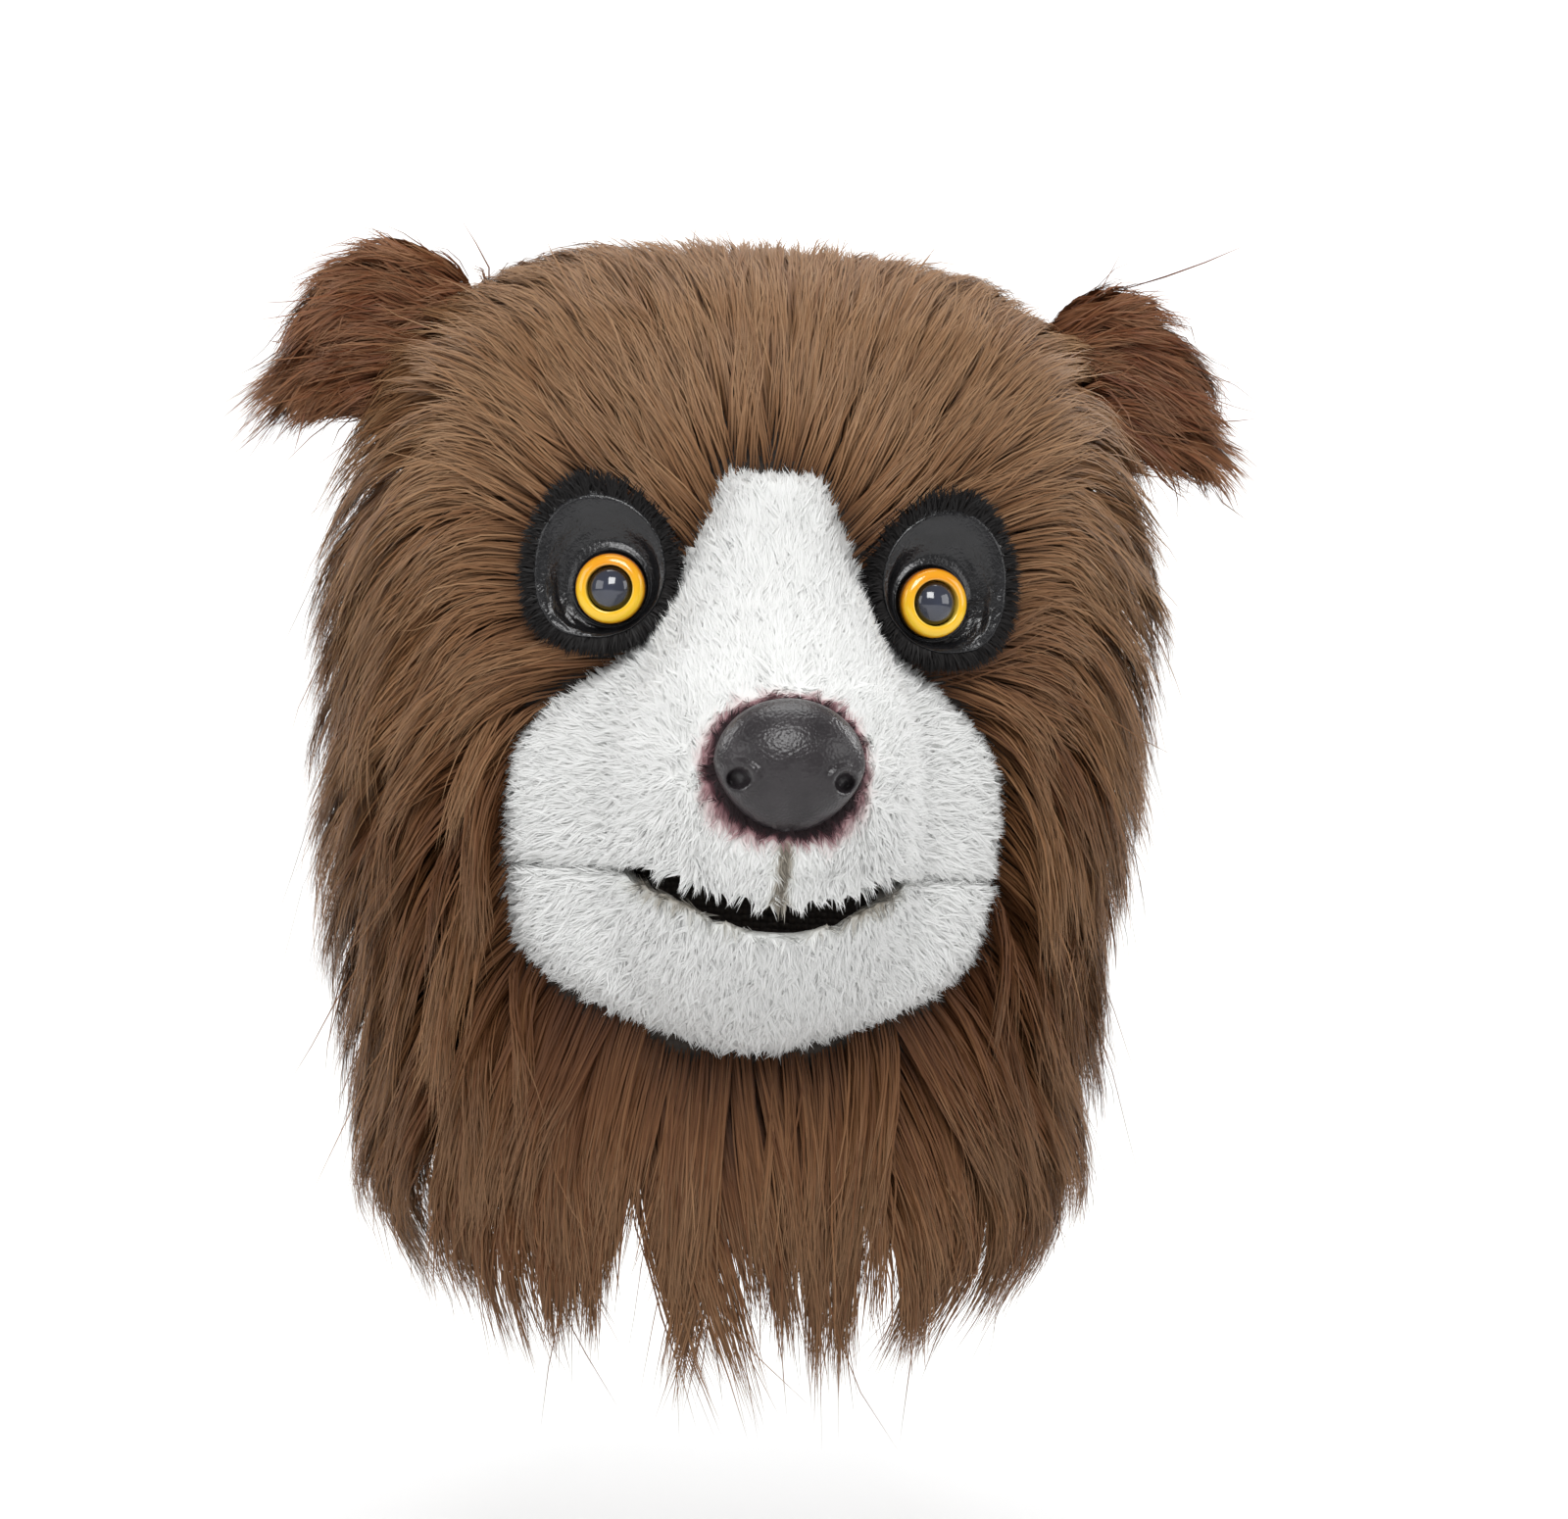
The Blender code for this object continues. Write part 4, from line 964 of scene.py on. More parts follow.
def shrunken(node, depth, rounds):
    """A smoothed copy of a node's mesh, drawn in along its normals."""
    shape = bmesh.new()
    shape.from_mesh(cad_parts[node].data)
    bmesh.ops.remove_doubles(shape, verts=shape.verts, dist=0.00002)
    for _ in range(rounds):
        bmesh.ops.smooth_vert(
            shape, verts=shape.verts, factor=0.5,
            use_axis_x=True, use_axis_y=True, use_axis_z=True,
        )
    shape.normal_update()
    moves = [vert.normal * depth for vert in shape.verts]
    for vert, move in zip(shape.verts, moves):
        vert.co -= move
    shape.normal_update()
    return shape


class PadSurface:
    """A closed mesh as a surface for fur, with one coat thickness."""

    def __init__(self, shape, thickness):
        bmesh.ops.triangulate(shape, faces=shape.faces[:])
        self.tree = BVHTree.FromBMesh(shape)
        self.thickness = thickness
        corners = np.array([[vert.co[:] for vert in face.verts] for face in shape.faces])
        self.corners = corners
        first_edge = corners[:, 1] - corners[:, 0]
        second_edge = corners[:, 2] - corners[:, 0]
        self.area = np.linalg.norm(np.cross(first_edge, second_edge), axis=1)

    def scatter(self, wanted):
        cells = dice.choice(len(self.area), wanted, p=self.area / self.area.sum())
        first, second = dice.random((2, wanted, 1))
        fold = first + second > 1
        first = np.where(fold, 1 - first, first)
        second = np.where(fold, 1 - second, second)
        a, b, c = (self.corners[cells, k] for k in range(3))
        return a + (b - a) * first + (c - a) * second

    def measure(self, points):
        lifts, outs = np.zeros(len(points)), np.zeros((len(points), 3))
        for number, point in enumerate(points):
            near, normal, index, distance = self.tree.find_nearest(Vector(point))
            gap = Vector(point) - near
            lifts[number] = gap.dot(normal)
            outs[number] = (gap.normalized() + normal * 0.5).normalized() if distance > 0.003 else normal
        return lifts, outs, np.full(len(points), self.thickness)


def make_ear(node, side):
    low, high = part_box(node)
    pad = shrunken(node, EAR_FUR * 0.8, 6)
    surface = PadSurface(pad, EAR_FUR)
    inner_x = low.x if side > 0 else high.x
    width = high.x - low.x
    middle_z = (low.z + high.z) / 2

    fan = np.array((inner_x - side * 0.012, (low.y + high.y) / 2, low.z + 0.012))

    def ear_comb(points):
        """Fanned out from the foot of the ear, and falling towards the outer edge."""
        outwards = np.clip((points[:, 0] - inner_x) * side / width, 0.0, 1.2)
        flow = unit(points - fan)
        flow[:, 0] += side * 0.45
        flow[:, 2] -= 1.5 * outwards ** 1.5
        return unit(flow)

    roots = surface.scatter(EAR_GUIDES)
    lock_pick = dice.choice(EAR_GUIDES, EAR_LOCKS, replace=False)
    which_lock = nearest_of(roots[lock_pick], roots)
    turn = dice.normal(0, math.radians(10), EAR_LOCKS)[which_lock] + dice.normal(0, 0.1, EAR_GUIDES)
    full = 0.7 + 0.7 * dice.random(EAR_LOCKS)[which_lock]
    outer = np.clip((roots[:, 0] - inner_x) * side / width, 0, 1)
    length = 0.024 + 0.012 * outer + 0.004 * dice.random(EAR_GUIDES)
    paths, outs = grow(surface, roots, ear_comb, length, full, turn)
    paths = gather(paths, paths[lock_pick], which_lock, 0.40)
    wanted = EAR_STRANDS // 1
    strand_roots = surface.scatter(wanted)
    which = nearest_of(roots, strand_roots)
    tones = 0.50 + dice.normal(0, 0.05, EAR_LOCKS)[which_lock[which]] + dice.normal(0, 0.06, wanted)
    from_middle = np.hypot(strand_roots[:, 0] - (low.x + high.x) / 2, strand_roots[:, 2] - middle_z)
    # The cup of the ear is painted darker: painted shade in its hollow.
    cup_shade = (1.0 - ramp_between(from_middle, 0.010, 0.030)) * (strand_roots[:, 1] < (low.y + high.y) / 2)
    tones = tones - 0.16 * cup_shade
    look = {
        "rings": 5, "clump": 0.60, "closing": 1.2, "stray": 0.0018, "loose": 0.04,
        "shortest": 0.6, "longest": 1.12, "waves": 1.0, "wave": 0.0009,
        "width": 0.00050, "twist": math.radians(24), "tones": np.clip(tones, 0.22, 0.98),
        "profile": SHORT_PROFILE,
    }
    strands = Strands()
    lay_strands(strands, surface, strand_roots, paths, outs, which, look)
    mesh = strands.write(node + "_strands")
    mesh.materials.append(ear_fur)
    piece = bpy.data.objects.new(node + "_strands", mesh)
    pad.free()
    return finished(piece, piece.name, (node,))


make_ear("ear_left", 1.0)
make_ear("ear_right", -1.0)

# %% [markdown]
# The snout, the cheek pads and the jaw are stuffed and covered with short white plush.
# A copy of the frame's solid is remeshed into small even faces and smoothed, so that it
# swells like a filled pad. It is drawn in by the depth of the pile, and short tufts are
# then grown on it, because the jagged white edge against the brown is made of tuft tips.

# %% Colour of the plush
NOSE_MIDDLE_Z = -0.1380
NOSE_HALF = (0.0212, 0.0186)
STAIN_REACH = 0.0040
MOUTH_HALF_WIDTH = 0.041
MOUTH_CORNER_Z = -0.1692
MOUTH_MIDDLE_Z = -0.1801
PHILTRUM_TOP_Z = -0.1565


def plush_finish():
    """White, with maroon dye that u brings in, and olive and brown paint with painted shade that v brings
    in.
    """
    finish = Finish("white_plush", 0.86, Specular_IOR_Level=0.25, Sheen_Weight=0.25)
    uv, stain, dark = strand_coordinates(finish)
    dyed = finish.ramp(stain, [
        (0.00, (0.880, 0.885, 0.875)),
        (0.30, (0.840, 0.770, 0.760)),
        (0.62, (0.400, 0.230, 0.245)),
        (0.85, (0.085, 0.030, 0.038)),
        (1.00, (0.022, 0.012, 0.014)),
    ])
    # v darkens the white: the painted lines of the face, and painted shade in the mouth and under the pile.
    paint_and_shade_tint = finish.ramp(dark, [
        (0.00, (1.00, 1.00, 1.00)),
        (0.12, (0.93, 0.935, 0.92)),
        (0.45, (0.42, 0.38, 0.32)),
        (0.75, (0.085, 0.070, 0.052)),
        (1.00, (0.020, 0.016, 0.012)),
    ])
    finish.colour(finish.mix(1.0, dyed, paint_and_shade_tint, "MULTIPLY"))
    return finish.material


def mouth_line(x):
    """Height of the mouth at a place across."""
    share = np.clip(np.abs(x) / MOUTH_HALF_WIDTH, 0.0, 1.0)
    bell = (1.0 - share ** 2) ** 1.5
    return MOUTH_CORNER_Z + (MOUTH_MIDDLE_Z - MOUTH_CORNER_Z) * bell


def smooth_noise(points, size, seed=0.0):
    """Soft noise from about -1 to 1 at each point, with lumps of one size."""
    shift = Vector((seed, seed * 0.7, -seed))
    return np.array([noise.noise(Vector(point) / size + shift) for point in points])


def stain_at(points):
    """How strongly the dye around the nose reaches a point."""
    across = points[:, 0] / NOSE_HALF[0]
    up = (points[:, 2] - NOSE_MIDDLE_Z) / NOSE_HALF[1]
    outside = (np.hypot(across, up) - 1.0) * 0.020
    low_sides = ramp_between(-up, 0.1, 0.9) * ramp_between(np.abs(across), 0.15, 0.7)
    reach = STAIN_REACH * (1.0 + 0.75 * low_sides + 0.55 * smooth_noise(points, 0.005))
    strength = 1.0 - np.clip(outside / np.maximum(reach, 0.001), 0, 1)
    return strength * ramp_between(-points[:, 1], 0.115, 0.130)


def paint_and_shade_at(points, is_jaw):
    """Olive line under the nose, and the dark edge of the mouth: lip paint, and painted shade in the slit
    and past the mouth line.
    """
    x, z = points[:, 0], points[:, 2]
    wander = 0.0004 * smooth_noise(points, 0.004, 3.0)
    line = np.exp(-((x + wander) / 0.0021) ** 2)
    line *= ramp_between(-z, -PHILTRUM_TOP_Z, -PHILTRUM_TOP_Z + 0.004)
    line *= 1.0 - ramp_between(-z, 0.1755, 0.1800)
    line *= ramp_between(-points[:, 1], 0.110, 0.125)
    # Past the mouth line the edge is fully dark: painted shade in the slit and the hollow behind it.
    gap = (mouth_line(x) - z) if is_jaw else (z - mouth_line(x))
    reach = 0.0062 if is_jaw else 0.0030
    in_mouth = 1.0 - ramp_between(np.abs(x), MOUTH_HALF_WIDTH * 0.80, MOUTH_HALF_WIDTH * 1.02)
    edge = (1.0 - np.clip(gap / reach, 0, 1)) ** 1.2 * in_mouth
    return np.clip(0.62 * line + edge, 0.0, 1.0)


white_plush = plush_finish()
print("mouth line in mm:", np.round(mouth_line(np.array((0.0, 0.02, 0.04))) * 1000, 1))

# %% Muzzle and jaw
PILE = 0.0034
PLUSH_VOXEL = 0.0021
COMB_MIDDLE = np.array((0.0, -0.118, -0.142))
MOUTH_EDGE = 0.005
MOUTH_SOFTENING = 0.009
BACKWARD_TILT = 0.35
RAY_LIFT = 0.0008
MOUTH_FILL = 0.0011
HOLLOW_MARGIN = 0.0022


def evenly_meshed(node, voxel):
    """A node's solid as one skin of small even faces."""
    shape = bmesh.new()
    shape.from_mesh(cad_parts[node].data)
    bmesh.ops.remove_doubles(shape, verts=shape.verts, dist=0.00002)
    rough = bpy.data.meshes.new(node + "_rough")
    shape.to_mesh(rough)
    shape.free()
    helper = bpy.data.objects.new(node + "_rough", rough)
    bpy.context.scene.collection.objects.link(helper)
    remesh = helper.modifiers.new("even", "REMESH")
    remesh.mode = "VOXEL"
    remesh.voxel_size = voxel
    graph = bpy.context.evaluated_depsgraph_get()
    even = bpy.data.meshes.new_from_object(helper.evaluated_get(graph))
    bpy.data.objects.remove(helper, do_unlink=True)
    shape = bmesh.new()
    shape.from_mesh(even)
    return shape


def seen_from_front(tree, point, normal):
    """Whether a place on a skin faces the open air in front, and not a hollow behind a wall."""
    if normal.y > BACKWARD_TILT:
        return False
    start = point + normal * RAY_LIFT
    return tree.ray_cast(start, Vector((0.0, -1.0, 0.0)))[0] is None


def stuffed_form(node, rounds):
    """The skin of a plush pad: smoothed, a little lumpy, and drawn in by the pile."""
    shape = evenly_meshed(node, PLUSH_VOXEL)
    for _ in range(rounds):
        bmesh.ops.smooth_vert(
            shape, verts=shape.verts, factor=0.5,
            use_axis_x=True, use_axis_y=True, use_axis_z=True,
        )
    shape.normal_update()
    tree = BVHTree.FromBMesh(shape)
    moves = []
    for vert in shape.verts:
        lump = noise.noise(vert.co / 0.016) * 0.0009 + noise.noise(vert.co / 0.006) * 0.0005
        to_mouth = abs(vert.co.z - float(mouth_line(vert.co.x)))
        if seen_from_front(tree, vert.co, vert.normal):
            push = lump - PILE * 0.75 * min(to_mouth / MOUTH_SOFTENING, 1.0)
        elif abs(vert.normal.z) > 0.6 and to_mouth < MOUTH_EDGE:
            push = MOUTH_FILL
        else:
            push = HOLLOW_MARGIN
        moves.append(vert.normal * push)
    for vert, move in zip(shape.verts, moves):
        vert.co += move
    for _ in range(2):
        bmesh.ops.smooth_vert(
            shape, verts=shape.verts, factor=0.4,
            use_axis_x=True, use_axis_y=True, use_axis_z=True,
        )
    shape.normal_update()
    return shape


def plush_comb(points):
    return unit(points - COMB_MIDDLE)


def paint(mesh, is_jaw):
    """Write the dye, and the paint and painted shade, of each corner into the strand UV map."""
    points = np.empty(len(mesh.vertices) * 3, np.float32)
    mesh.vertices.foreach_get("co", points)
    points = points.reshape(-1, 3).astype(float)
    # The skin under the pile is made a little darker: painted shade between the tufts.
    colours = np.stack([stain_at(points), np.clip(paint_and_shade_at(points, is_jaw) + 0.06, 0, 1)], 1)
    corners = np.empty(len(mesh.loops), np.int32)
    mesh.loops.foreach_get("vertex_index", corners)
    layer = mesh.uv_layers.new(name=STRAND_UV)
    layer.data.foreach_set("uv", colours[corners].astype(np.float32).ravel())


def joined(name, parts, finish):
    """Several meshes in one, with one finish."""
    whole = bmesh.new()
    for part in parts:
        whole.from_mesh(part)
    mesh = bpy.data.meshes.new(name)
    whole.to_mesh(mesh)
    whole.free()
    mesh.materials.append(finish)
    mesh.shade_smooth()
    return bpy.data.objects.new(name, mesh)


def tufts(surface, number, is_jaw):
    """Short clumped tufts on the front of a plush pad."""
    clumps = number // 7
    roots = surface.scatter(clumps)
    reach = 0.0052 + 0.0016 * dice.random(clumps)
    near_nose = np.linalg.norm(roots - np.array((0, -0.15, NOSE_MIDDLE_Z)), axis=1)
    reach *= 0.62 + 0.38 * ramp_between(near_nose, 0.022, 0.050)
    turn = dice.normal(0, 0.40, clumps)
    full = 0.55 + 0.75 * dice.random(clumps)
    paths, outs = grow(surface, roots, plush_comb, reach, full, turn)
    fibre_roots = surface.scatter(number)
    which = nearest_of(roots, fibre_roots)
    look = {
        "rings": 2, "clump": 0.72, "closing": 1.0, "stray": 0.0006, "loose": 0.0,
        "shortest": 0.6, "longest": 1.1, "waves": 0.5, "wave": 0.0,
        "width": 0.00058, "twist": math.radians(20), "tones": np.zeros(number),
        "profile": (1.0, 0.0),
    }
    strands = Strands()
    lay_strands(strands, surface, fibre_roots, paths, outs, which, look)
    mesh = strands.write("tufts")
    # Each fibre takes the paint and the painted shade at its root, with a little random grey.
    stain, paint_and_shade_share = stain_at(fibre_roots), paint_and_shade_at(fibre_roots, is_jaw)
    paint_and_shade_share = np.clip(paint_and_shade_share + np.abs(dice.normal(0, 0.02, number)), 0, 1)
    per_fibre = np.repeat(np.stack([stain, paint_and_shade_share], 1), len(mesh.loops) // number, 0)
    mesh.uv_layers[STRAND_UV].data.foreach_set("uv", per_fibre.astype(np.float32).ravel())
    return mesh


def make_plush(node, fibres):
    is_jaw = node == "jaw"
    shape = stuffed_form(node, 5)
    skin = bpy.data.meshes.new(node + "_skin")
    shape.to_mesh(skin)
    paint(skin, is_jaw)
    shown = shape.copy()
    tree = BVHTree.FromBMesh(shape)
    hidden = [
        face for face in shown.faces
        if not seen_from_front(tree, face.calc_center_median(), face.normal)
    ]
    bmesh.ops.delete(shown, geom=hidden, context="FACES")
    surface = PadSurface(shown, PILE)
    pile = tufts(surface, fibres // (1), is_jaw)
    piece = joined(node + "_plush", [skin, pile], white_plush)
    shape.free()
    shown.free()
    finished(piece, piece.name, (node,))
    return piece


make_plush("muzzle", 46000)
make_plush("jaw", 23000)

# %% [markdown]
# The nose is moulded in one piece of black rubber, half glossy, with a pebble grain that
# catches the light in small worm-like spots. A fine sphere with its pole to the front
# gets the outline of the frame's nose. Its points are then pushed like clay: a soft
# trough down the middle, a hole on each side, and a raised wing round each hole.

# %% The nose's finish
def nose_finish():
    finish = Finish("nose_rubber", 0.33, Specular_IOR_Level=0.55)
    place = object_place(finish)
    warped = finish.add("TexNoise", Vector=place, Scale=900.0, Detail=2.0)
    grain = finish.add("TexVoronoi", {"feature": "SMOOTH_F1"}, Vector=place, Scale=1150.0)
    height = finish.math("MULTIPLY_ADD", warped.outputs["Fac"], 0.7)
    finish.feed(height.node, "2", grain.outputs["Distance"])
    finish.bump(height, 0.00022, 0.75)
    broad = finish.add("TexNoise", Vector=place, Scale=130.0, Detail=3.0)
    finish.colour(finish.ramp(broad.outputs["Fac"], [
        (0.30, (0.016, 0.013, 0.015)),
        (0.70, (0.030, 0.025, 0.028)),
    ]))
    return finish.material


# %% Model the nose
NOSE_SIZE = (0.0420, 0.0300, 0.0370)
NOSE_COLUMNS = 120
NOSE_RINGS = 70
NOSE_TAPER = 0.34
NOSTRIL = (0.0147, -0.0042)
NOSTRIL_REACH = (0.0033, 0.0030)


def shape_nose(points):
    """Push the front of the nose into its trough, nostrils and wings."""
    x, z = points[:, 0], points[:, 2]
    side = np.abs(x)
    front = ramp_between(-points[:, 1], 0.0, 0.006)
    trough_width = 0.0022 + 0.0010 * ramp_between(-z, -0.002, 0.014)
    trough = np.exp(-(x / trough_width) ** 2) * ramp_between(-z, -0.003, 0.006)
    push = trough * (0.0014 + 0.0014 * ramp_between(-z, 0.006, 0.017))
    across = (side - NOSTRIL[0]) / NOSTRIL_REACH[0]
    up = (z - NOSTRIL[1]) / NOSTRIL_REACH[1]
    hole = 1.0 - ramp_between(np.hypot(across, up), 0.50, 1.10)
    tail_up = z - (NOSTRIL[1] - 0.0012 - 0.35 * (side - NOSTRIL[0]))
    tail = np.exp(-(tail_up / 0.0011) ** 2) * ramp_between(side, NOSTRIL[0] - 0.001, NOSTRIL[0] + 0.003)
    push += hole * 0.0052 + tail * 0.0014
    ring = np.exp(-((np.hypot(across, up) - 1.35) / 0.26) ** 2)
    inner_side = ramp_between(-across + 0.35 * up, -0.5, 0.7)
    push -= ring * (0.00075 * inner_side + 0.00025)
    crease = np.exp(-((np.hypot(across, up) - 2.05) / 0.30) ** 2) * inner_side
    push += crease * 0.00045
    points[:, 1] += push * front
    return points


def make_nose():
    low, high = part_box("nose")
    middle = Vector((0.0, low.y + NOSE_SIZE[1] / 2, (low.z + high.z) / 2))
    shape = bmesh.new()
    bmesh.ops.create_uvsphere(shape, u_segments=NOSE_COLUMNS, v_segments=NOSE_RINGS, radius=0.5)
    bmesh.ops.rotate(shape, cent=(0, 0, 0), matrix=Matrix.Rotation(math.pi / 2, 3, "X"), verts=shape.verts)
    for vert in shape.verts:
        vert.co.x *= 1.0 - NOSE_TAPER * max(-vert.co.z, 0.0)
        vert.co.x, vert.co.y, vert.co.z = (value * size for value, size in zip(vert.co, NOSE_SIZE))
    points = shape_nose(np.array([vert.co[:] for vert in shape.verts]))
    for vert, point in zip(shape.verts, points):
        vert.co = point
    bmesh.ops.translate(shape, vec=middle, verts=shape.verts)
    bmesh.ops.recalc_face_normals(shape, faces=shape.faces)
    mesh = bpy.data.meshes.new("nose_rubber")
    shape.to_mesh(mesh)
    shape.free()
    mesh.shade_smooth()
    mesh.materials.append(nose_finish())
    piece = bpy.data.objects.new("nose_rubber", mesh)
    return finished(piece, piece.name, ("nose",))


make_nose()

# %% [markdown]
# Each eye is a turned plastic ring, yellow and clear lacquered, with a dark dome in its
# well. A profile is drawn beside the eye's own axis and spun round it, which gives an
# even, closed shape. The colour follows two numbers that each point carries: how far
# out it is on the eye, and how high. The upper part of the ring is painted darker and
# more orange, as painted shade under the patch's brow.

# %% The eyes' finishes
def iris_finish():
    finish = Finish("iris_yellow", 0.16, Specular_IOR_Level=0.6, Coat_Weight=0.6, Coat_Roughness=0.05)
    uv, out, rise = strand_coordinates(finish)
    lower = finish.ramp(out, [
        (0.00, (0.010, 0.008, 0.004)),
        (0.10, (0.20, 0.10, 0.010)),
        (0.18, (0.95, 0.66, 0.080)),
        (0.30, (0.98, 0.56, 0.012)),
        (0.80, (0.98, 0.62, 0.010)),
        (0.93, (0.82, 0.36, 0.008)),
        (1.00, (0.10, 0.045, 0.006)),
    ])
    # The top of the ring is painted darker and more orange: painted shade under the patch's brow.
    upper_shade = finish.ramp(rise, [(0.35, (1.00, 1.00, 1.00)), (0.85, (0.92, 0.62, 0.60))])
    finish.colour(finish.mix(1.0, lower, upper_shade, "MULTIPLY"))
    return finish.material


def pupil_finish():
    finish = Finish("pupil_dark", 0.09, Specular_IOR_Level=0.6, Coat_Weight=0.8, Coat_Roughness=0.03)
    uv, out, rise = strand_coordinates(finish)
    finish.colour(finish.ramp(out, [
        (0.00, (0.036, 0.042, 0.068)),
        (0.78, (0.030, 0.034, 0.052)),
        (0.90, (0.004, 0.004, 0.006)),
        (1.00, (0.002, 0.002, 0.003)),
    ]))
    return finish.material


# %% Turn the eyes
EYE_STEPS = 72
IRIS_PROFILE = (
    # distance from the axis and height over the ring's edge, in metres
    (0.00670, -0.0021), (0.00670, 0.0009), (0.00690, 0.0012), (0.00725, 0.0013),
    (0.00820, 0.0011), (0.00910, 0.0006), (0.00970, 0.0000), (0.01005, -0.0008),
    (0.01020, -0.0020), (0.01020, -0.0044), (0.00600, -0.0044),
)
PUPIL_PROFILE = (
    (0.0000, 0.0033), (0.0011, 0.0032), (0.0022, 0.0029), (0.0033, 0.0025),
    (0.0043, 0.0019), (0.0052, 0.0012), (0.0058, 0.0005), (0.0062, -0.0003),
    (0.0063, -0.0010), (0.0063, -0.0020), (0.0000, -0.0020),
)


def turned_piece(seat, name, profile, finish, nodes):
    """Spin a profile round the eye's axis, and note how far out each point is."""
    shape = bmesh.new()
    line = [shape.verts.new(seat.place(0.0, distance, height)) for distance, height in profile]
    edges = [shape.edges.new(pair) for pair in zip(line, line[1:])]
    bmesh.ops.spin(
        shape, geom=line + edges, cent=seat.edge, axis=seat.out,
        angle=math.tau, steps=EYE_STEPS, use_merge=True,
    )
    bmesh.ops.remove_doubles(shape, verts=shape.verts, dist=0.00001)
    ends = [edge for edge in shape.edges if edge.is_boundary]
    if ends:
        bmesh.ops.bridge_loops(shape, edges=ends)
    bmesh.ops.recalc_face_normals(shape, faces=shape.faces)
    layer = shape.loops.layers.uv.new(STRAND_UV)
    inner = min(distance for distance, height in profile)
    outer = max(distance for distance, height in profile)
    for face in shape.faces:
        for loop in face.loops:
            flat = loop.vert.co - seat.edge
            flat -= seat.out * flat.dot(seat.out)
            away = (flat.length - inner) / (outer - inner)
            loop[layer].uv = (min(max(away, 0.0), 1.0), 0.5 + 0.5 * flat.z / outer)
    mesh = bpy.data.meshes.new(name)
    shape.to_mesh(mesh)
    shape.free()
    mesh.shade_smooth()
    mesh.materials.append(finish)
    return finished(bpy.data.objects.new(name, mesh), name, nodes)


iris_yellow = iris_finish()
pupil_dark = pupil_finish()
for seat in seats:
    turned_piece(
        seat, "iris_ring_" + seat.word, IRIS_PROFILE,
        iris_yellow, ("iris_" + seat.word,),
    )
    turned_piece(
        seat, "pupil_dome_" + seat.word, PUPIL_PROFILE,
        pupil_dark, ("pupil_" + seat.word,),
    )

# %% [markdown]
# Round each eye lies a black glossy patch like a drop with its point up. It is a thin
# moulding that has wrinkled and cracked at its outer lower side, and its edge vanishes
# in black dyed fuzz. A grid is bent round the eye in rings from the eye to the edge, and
# the wrinkles are real: the points move up and down with noise.

# %% Eye patches
PATCH_SIDES = 100
PATCH_RIM = 0.011
PATCH_RINGS = 28
PATCH_SECTION = (
    # share of the way from the eye to the edge, height as a share of PATCH_RIM
    (0.00, 0.62), (0.06, 0.72), (0.20, 0.66), (0.40, 0.72), (0.62, 0.95),
    (0.84, 1.02), (0.93, 0.86), (0.98, 0.55), (1.00, 0.10), (1.01, -0.60),
)


def patch_finish():
    finish = Finish("socket_gloss", 0.24, Specular_IOR_Level=0.45, Coat_Weight=0.25, Coat_Roughness=0.12)
    place = object_place(finish)
    cracks = finish.add("TexVoronoi", {"feature": "DISTANCE_TO_EDGE"}, Vector=place, Scale=700.0)
    fine = finish.add("TexNoise", Vector=place, Scale=1400.0, Detail=3.0)
    height = finish.math("MULTIPLY_ADD", fine.outputs["Fac"], 0.35)
    finish.feed(height.node, "2", finish.math("MINIMUM", cracks.outputs["Distance"], 0.25))
    finish.bump(height, 0.00030, 0.8)
    tint = finish.add("TexNoise", Vector=place, Scale=160.0, Detail=2.0)
    finish.colour(finish.ramp(tint.outputs["Fac"], [
        (0.3, (0.006, 0.006, 0.007)),
        (0.8, (0.018, 0.018, 0.020)),
    ]))
    return finish.material


def patch_relief(seat, direction, share):
    """Wrinkles: coarse at the outer lower side, and two folds on the upper lid."""
    outer_low = math.exp(-((math.degrees(direction) - 200.0) / 38.0) ** 2)
    point = seat.place(direction, share * 0.02, 0.0)
    coarse = noise.noise(point / 0.0024) * 0.0005 + noise.noise(point / 0.0011) * 0.0003
    folds = math.sin((share * 2.2 + direction * 0.25) * math.tau) * 0.00035
    lid = math.exp(-((math.degrees(direction) - 75.0) / 45.0) ** 2)
    middle = math.sin(math.pi * min(max(share, 0.0), 1.0))
    return (coarse * (0.25 + outer_low * 1.2) + folds * lid) * middle


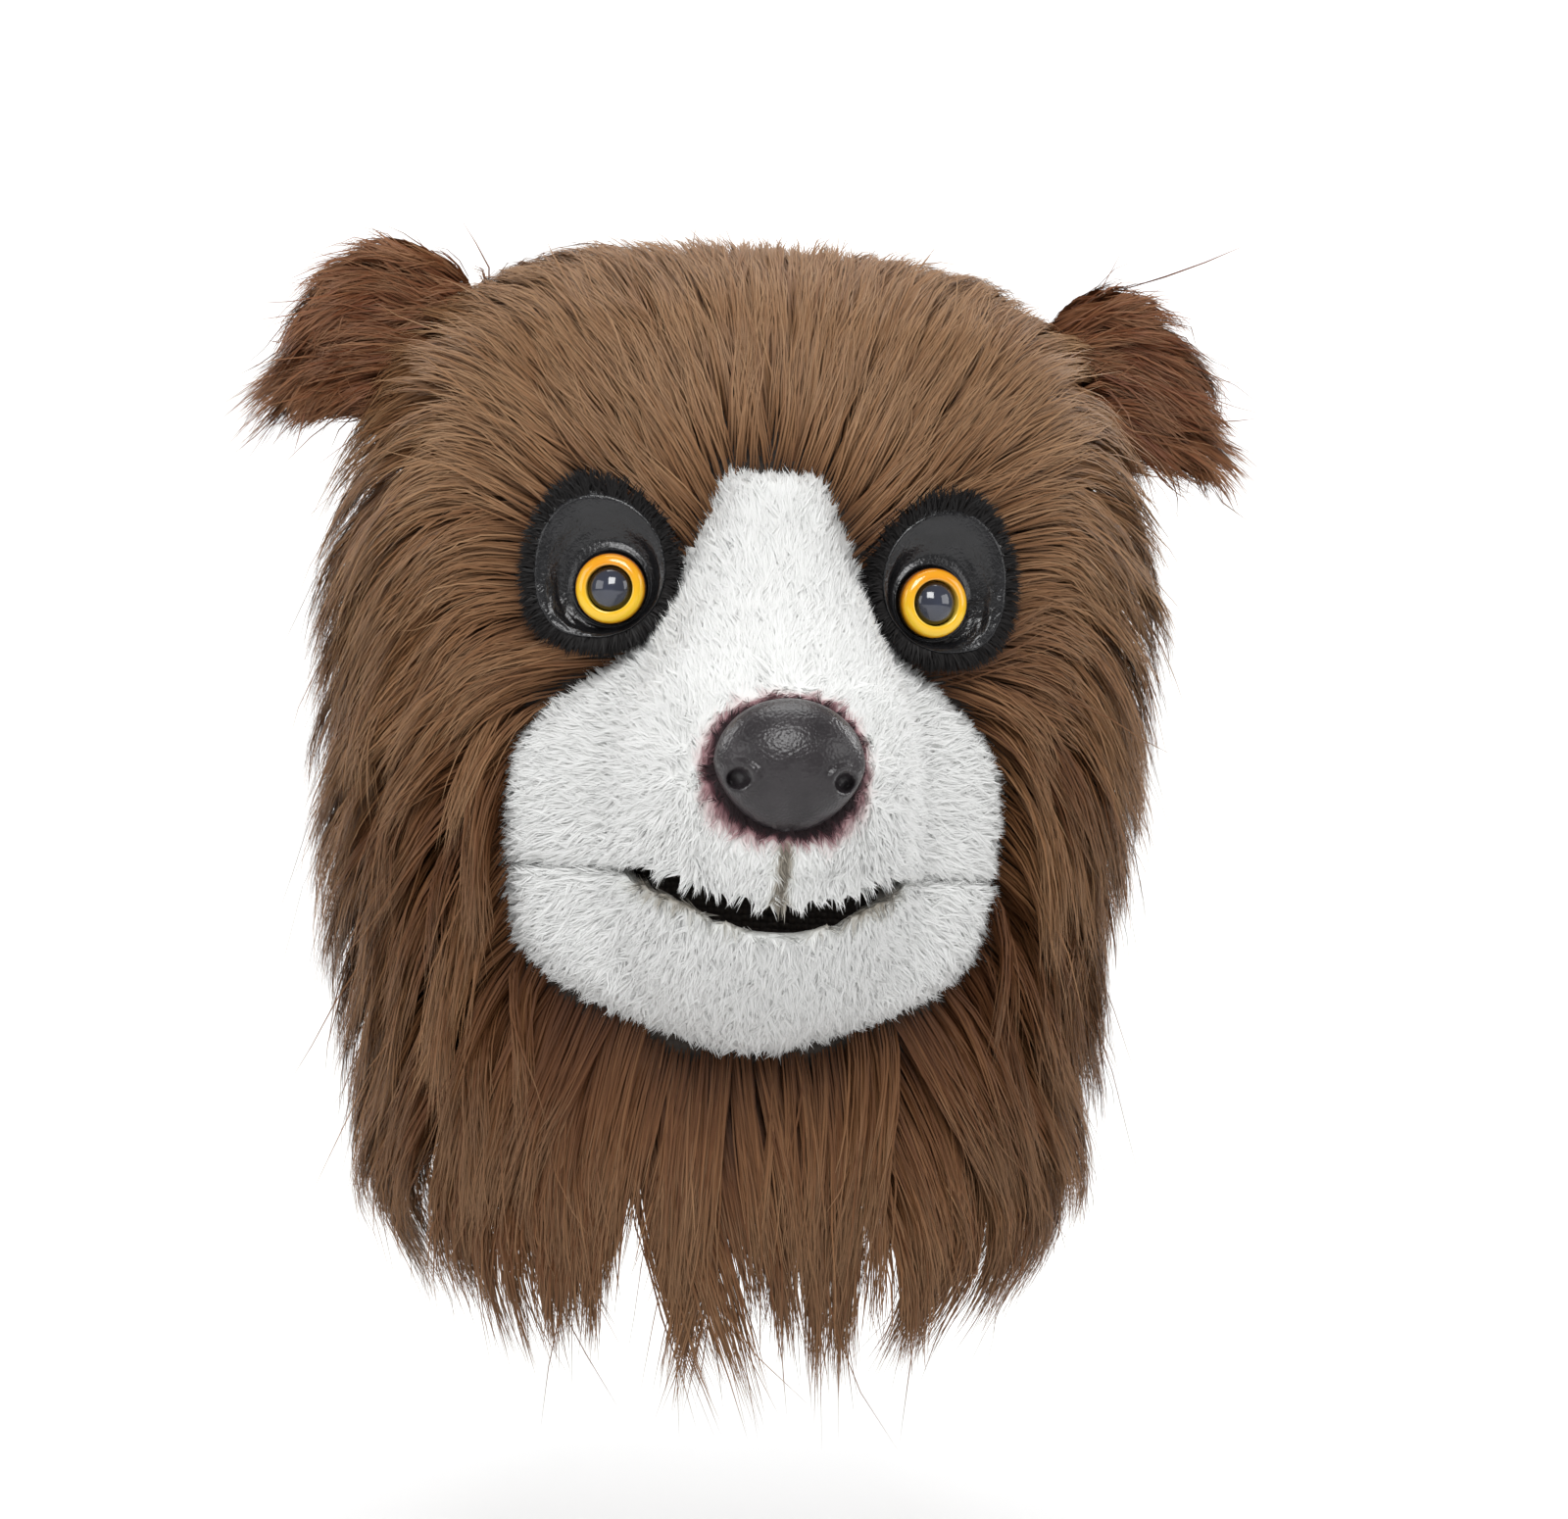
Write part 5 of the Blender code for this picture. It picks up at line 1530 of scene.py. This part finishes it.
def make_patch(seat, finish):
    section = np.array(PATCH_SECTION)
    knots = np.linspace(0, math.tau, 361)
    reach = patch_reach(knots)

    def place(direction, share):
        height = float(np.interp(share, section[:, 0], section[:, 1])) * PATCH_RIM - EYE_STAND
        edge = float(np.interp(direction, knots, reach))
        distance = EYE_RADIUS + (edge - EYE_RADIUS) * min(share, 1.0)
        return seat.place(direction, distance, height + patch_relief(seat, direction, share))

    shape = wrapped_grid(PATCH_SIDES, PATCH_RINGS, place)
    bmesh.ops.recalc_face_normals(shape, faces=shape.faces)
    if sum(face.normal.dot(seat.out) for face in shape.faces) < 0:
        bmesh.ops.reverse_faces(shape, faces=shape.faces)
    mesh = bpy.data.meshes.new("eye_patch_" + seat.word)
    shape.to_mesh(mesh)
    shape.free()
    mesh.shade_smooth()
    mesh.materials.append(finish)
    piece = bpy.data.objects.new("eye_patch_" + seat.word, mesh)
    return finished(piece, piece.name, ("eye_socket_" + seat.word,))


FUZZ_STRANDS = 2500


def make_fuzz(seat):
    """Black dyed fuzz that stands out from the edge of the patch."""
    number = FUZZ_STRANDS
    direction = dice.random(number) * math.tau
    share = 1.0 - 0.26 * dice.random(number) ** 1.3
    reach = patch_reach(direction)
    flat = np.outer(np.cos(direction), seat.inward) + np.outer(np.sin(direction), seat.up)
    out = np.array(seat.out)
    distance = EYE_RADIUS + (reach - EYE_RADIUS) * share
    section = np.array(PATCH_SECTION)
    height = np.interp(share, section[:, 0], section[:, 1]) * PATCH_RIM - EYE_STAND
    roots = np.array(seat.edge) + flat * distance[:, None] + out * (height - 0.0008)[:, None]
    point_up = np.exp(-((np.degrees(direction) - 100.0) / 28.0) ** 2)
    length = 0.0030 + 0.0026 * dice.random(number) + 0.0040 * point_up
    rise = 0.15 + 0.4 * dice.random(number)
    away = unit(flat + dice.normal(0, 0.22, (number, 3)))
    steps = np.linspace(0, 1, 4)[None, :, None]
    paths = roots[:, None] + away[:, None] * (length[:, None, None] * steps)
    paths = paths + out * (length * rise)[:, None, None] * (steps - 0.75 * steps ** 2)
    paths[..., 2] -= (length * 0.25)[:, None] * steps[..., 0] ** 2
    outs = np.broadcast_to(out, paths.shape)
    strands = Strands()
    strands.add(paths, outs, np.full(number, 0.00028), 0.05 * dice.random(number),
                dice.normal(0, 0.6, number), (0.8, 1.0, 0.7, 0.0))
    mesh = strands.write("eye_fuzz_" + seat.word)
    mesh.materials.append(brown_fur)
    piece = bpy.data.objects.new("eye_fuzz_" + seat.word, mesh)
    return finished(piece, piece.name, ())


socket_gloss = patch_finish()
for seat in seats:
    make_patch(seat, socket_gloss)
    make_fuzz(seat)

# %% Write the sizes
print("frame box", [tuple(round(value, 3) for value in corner) for corner in cad_box])
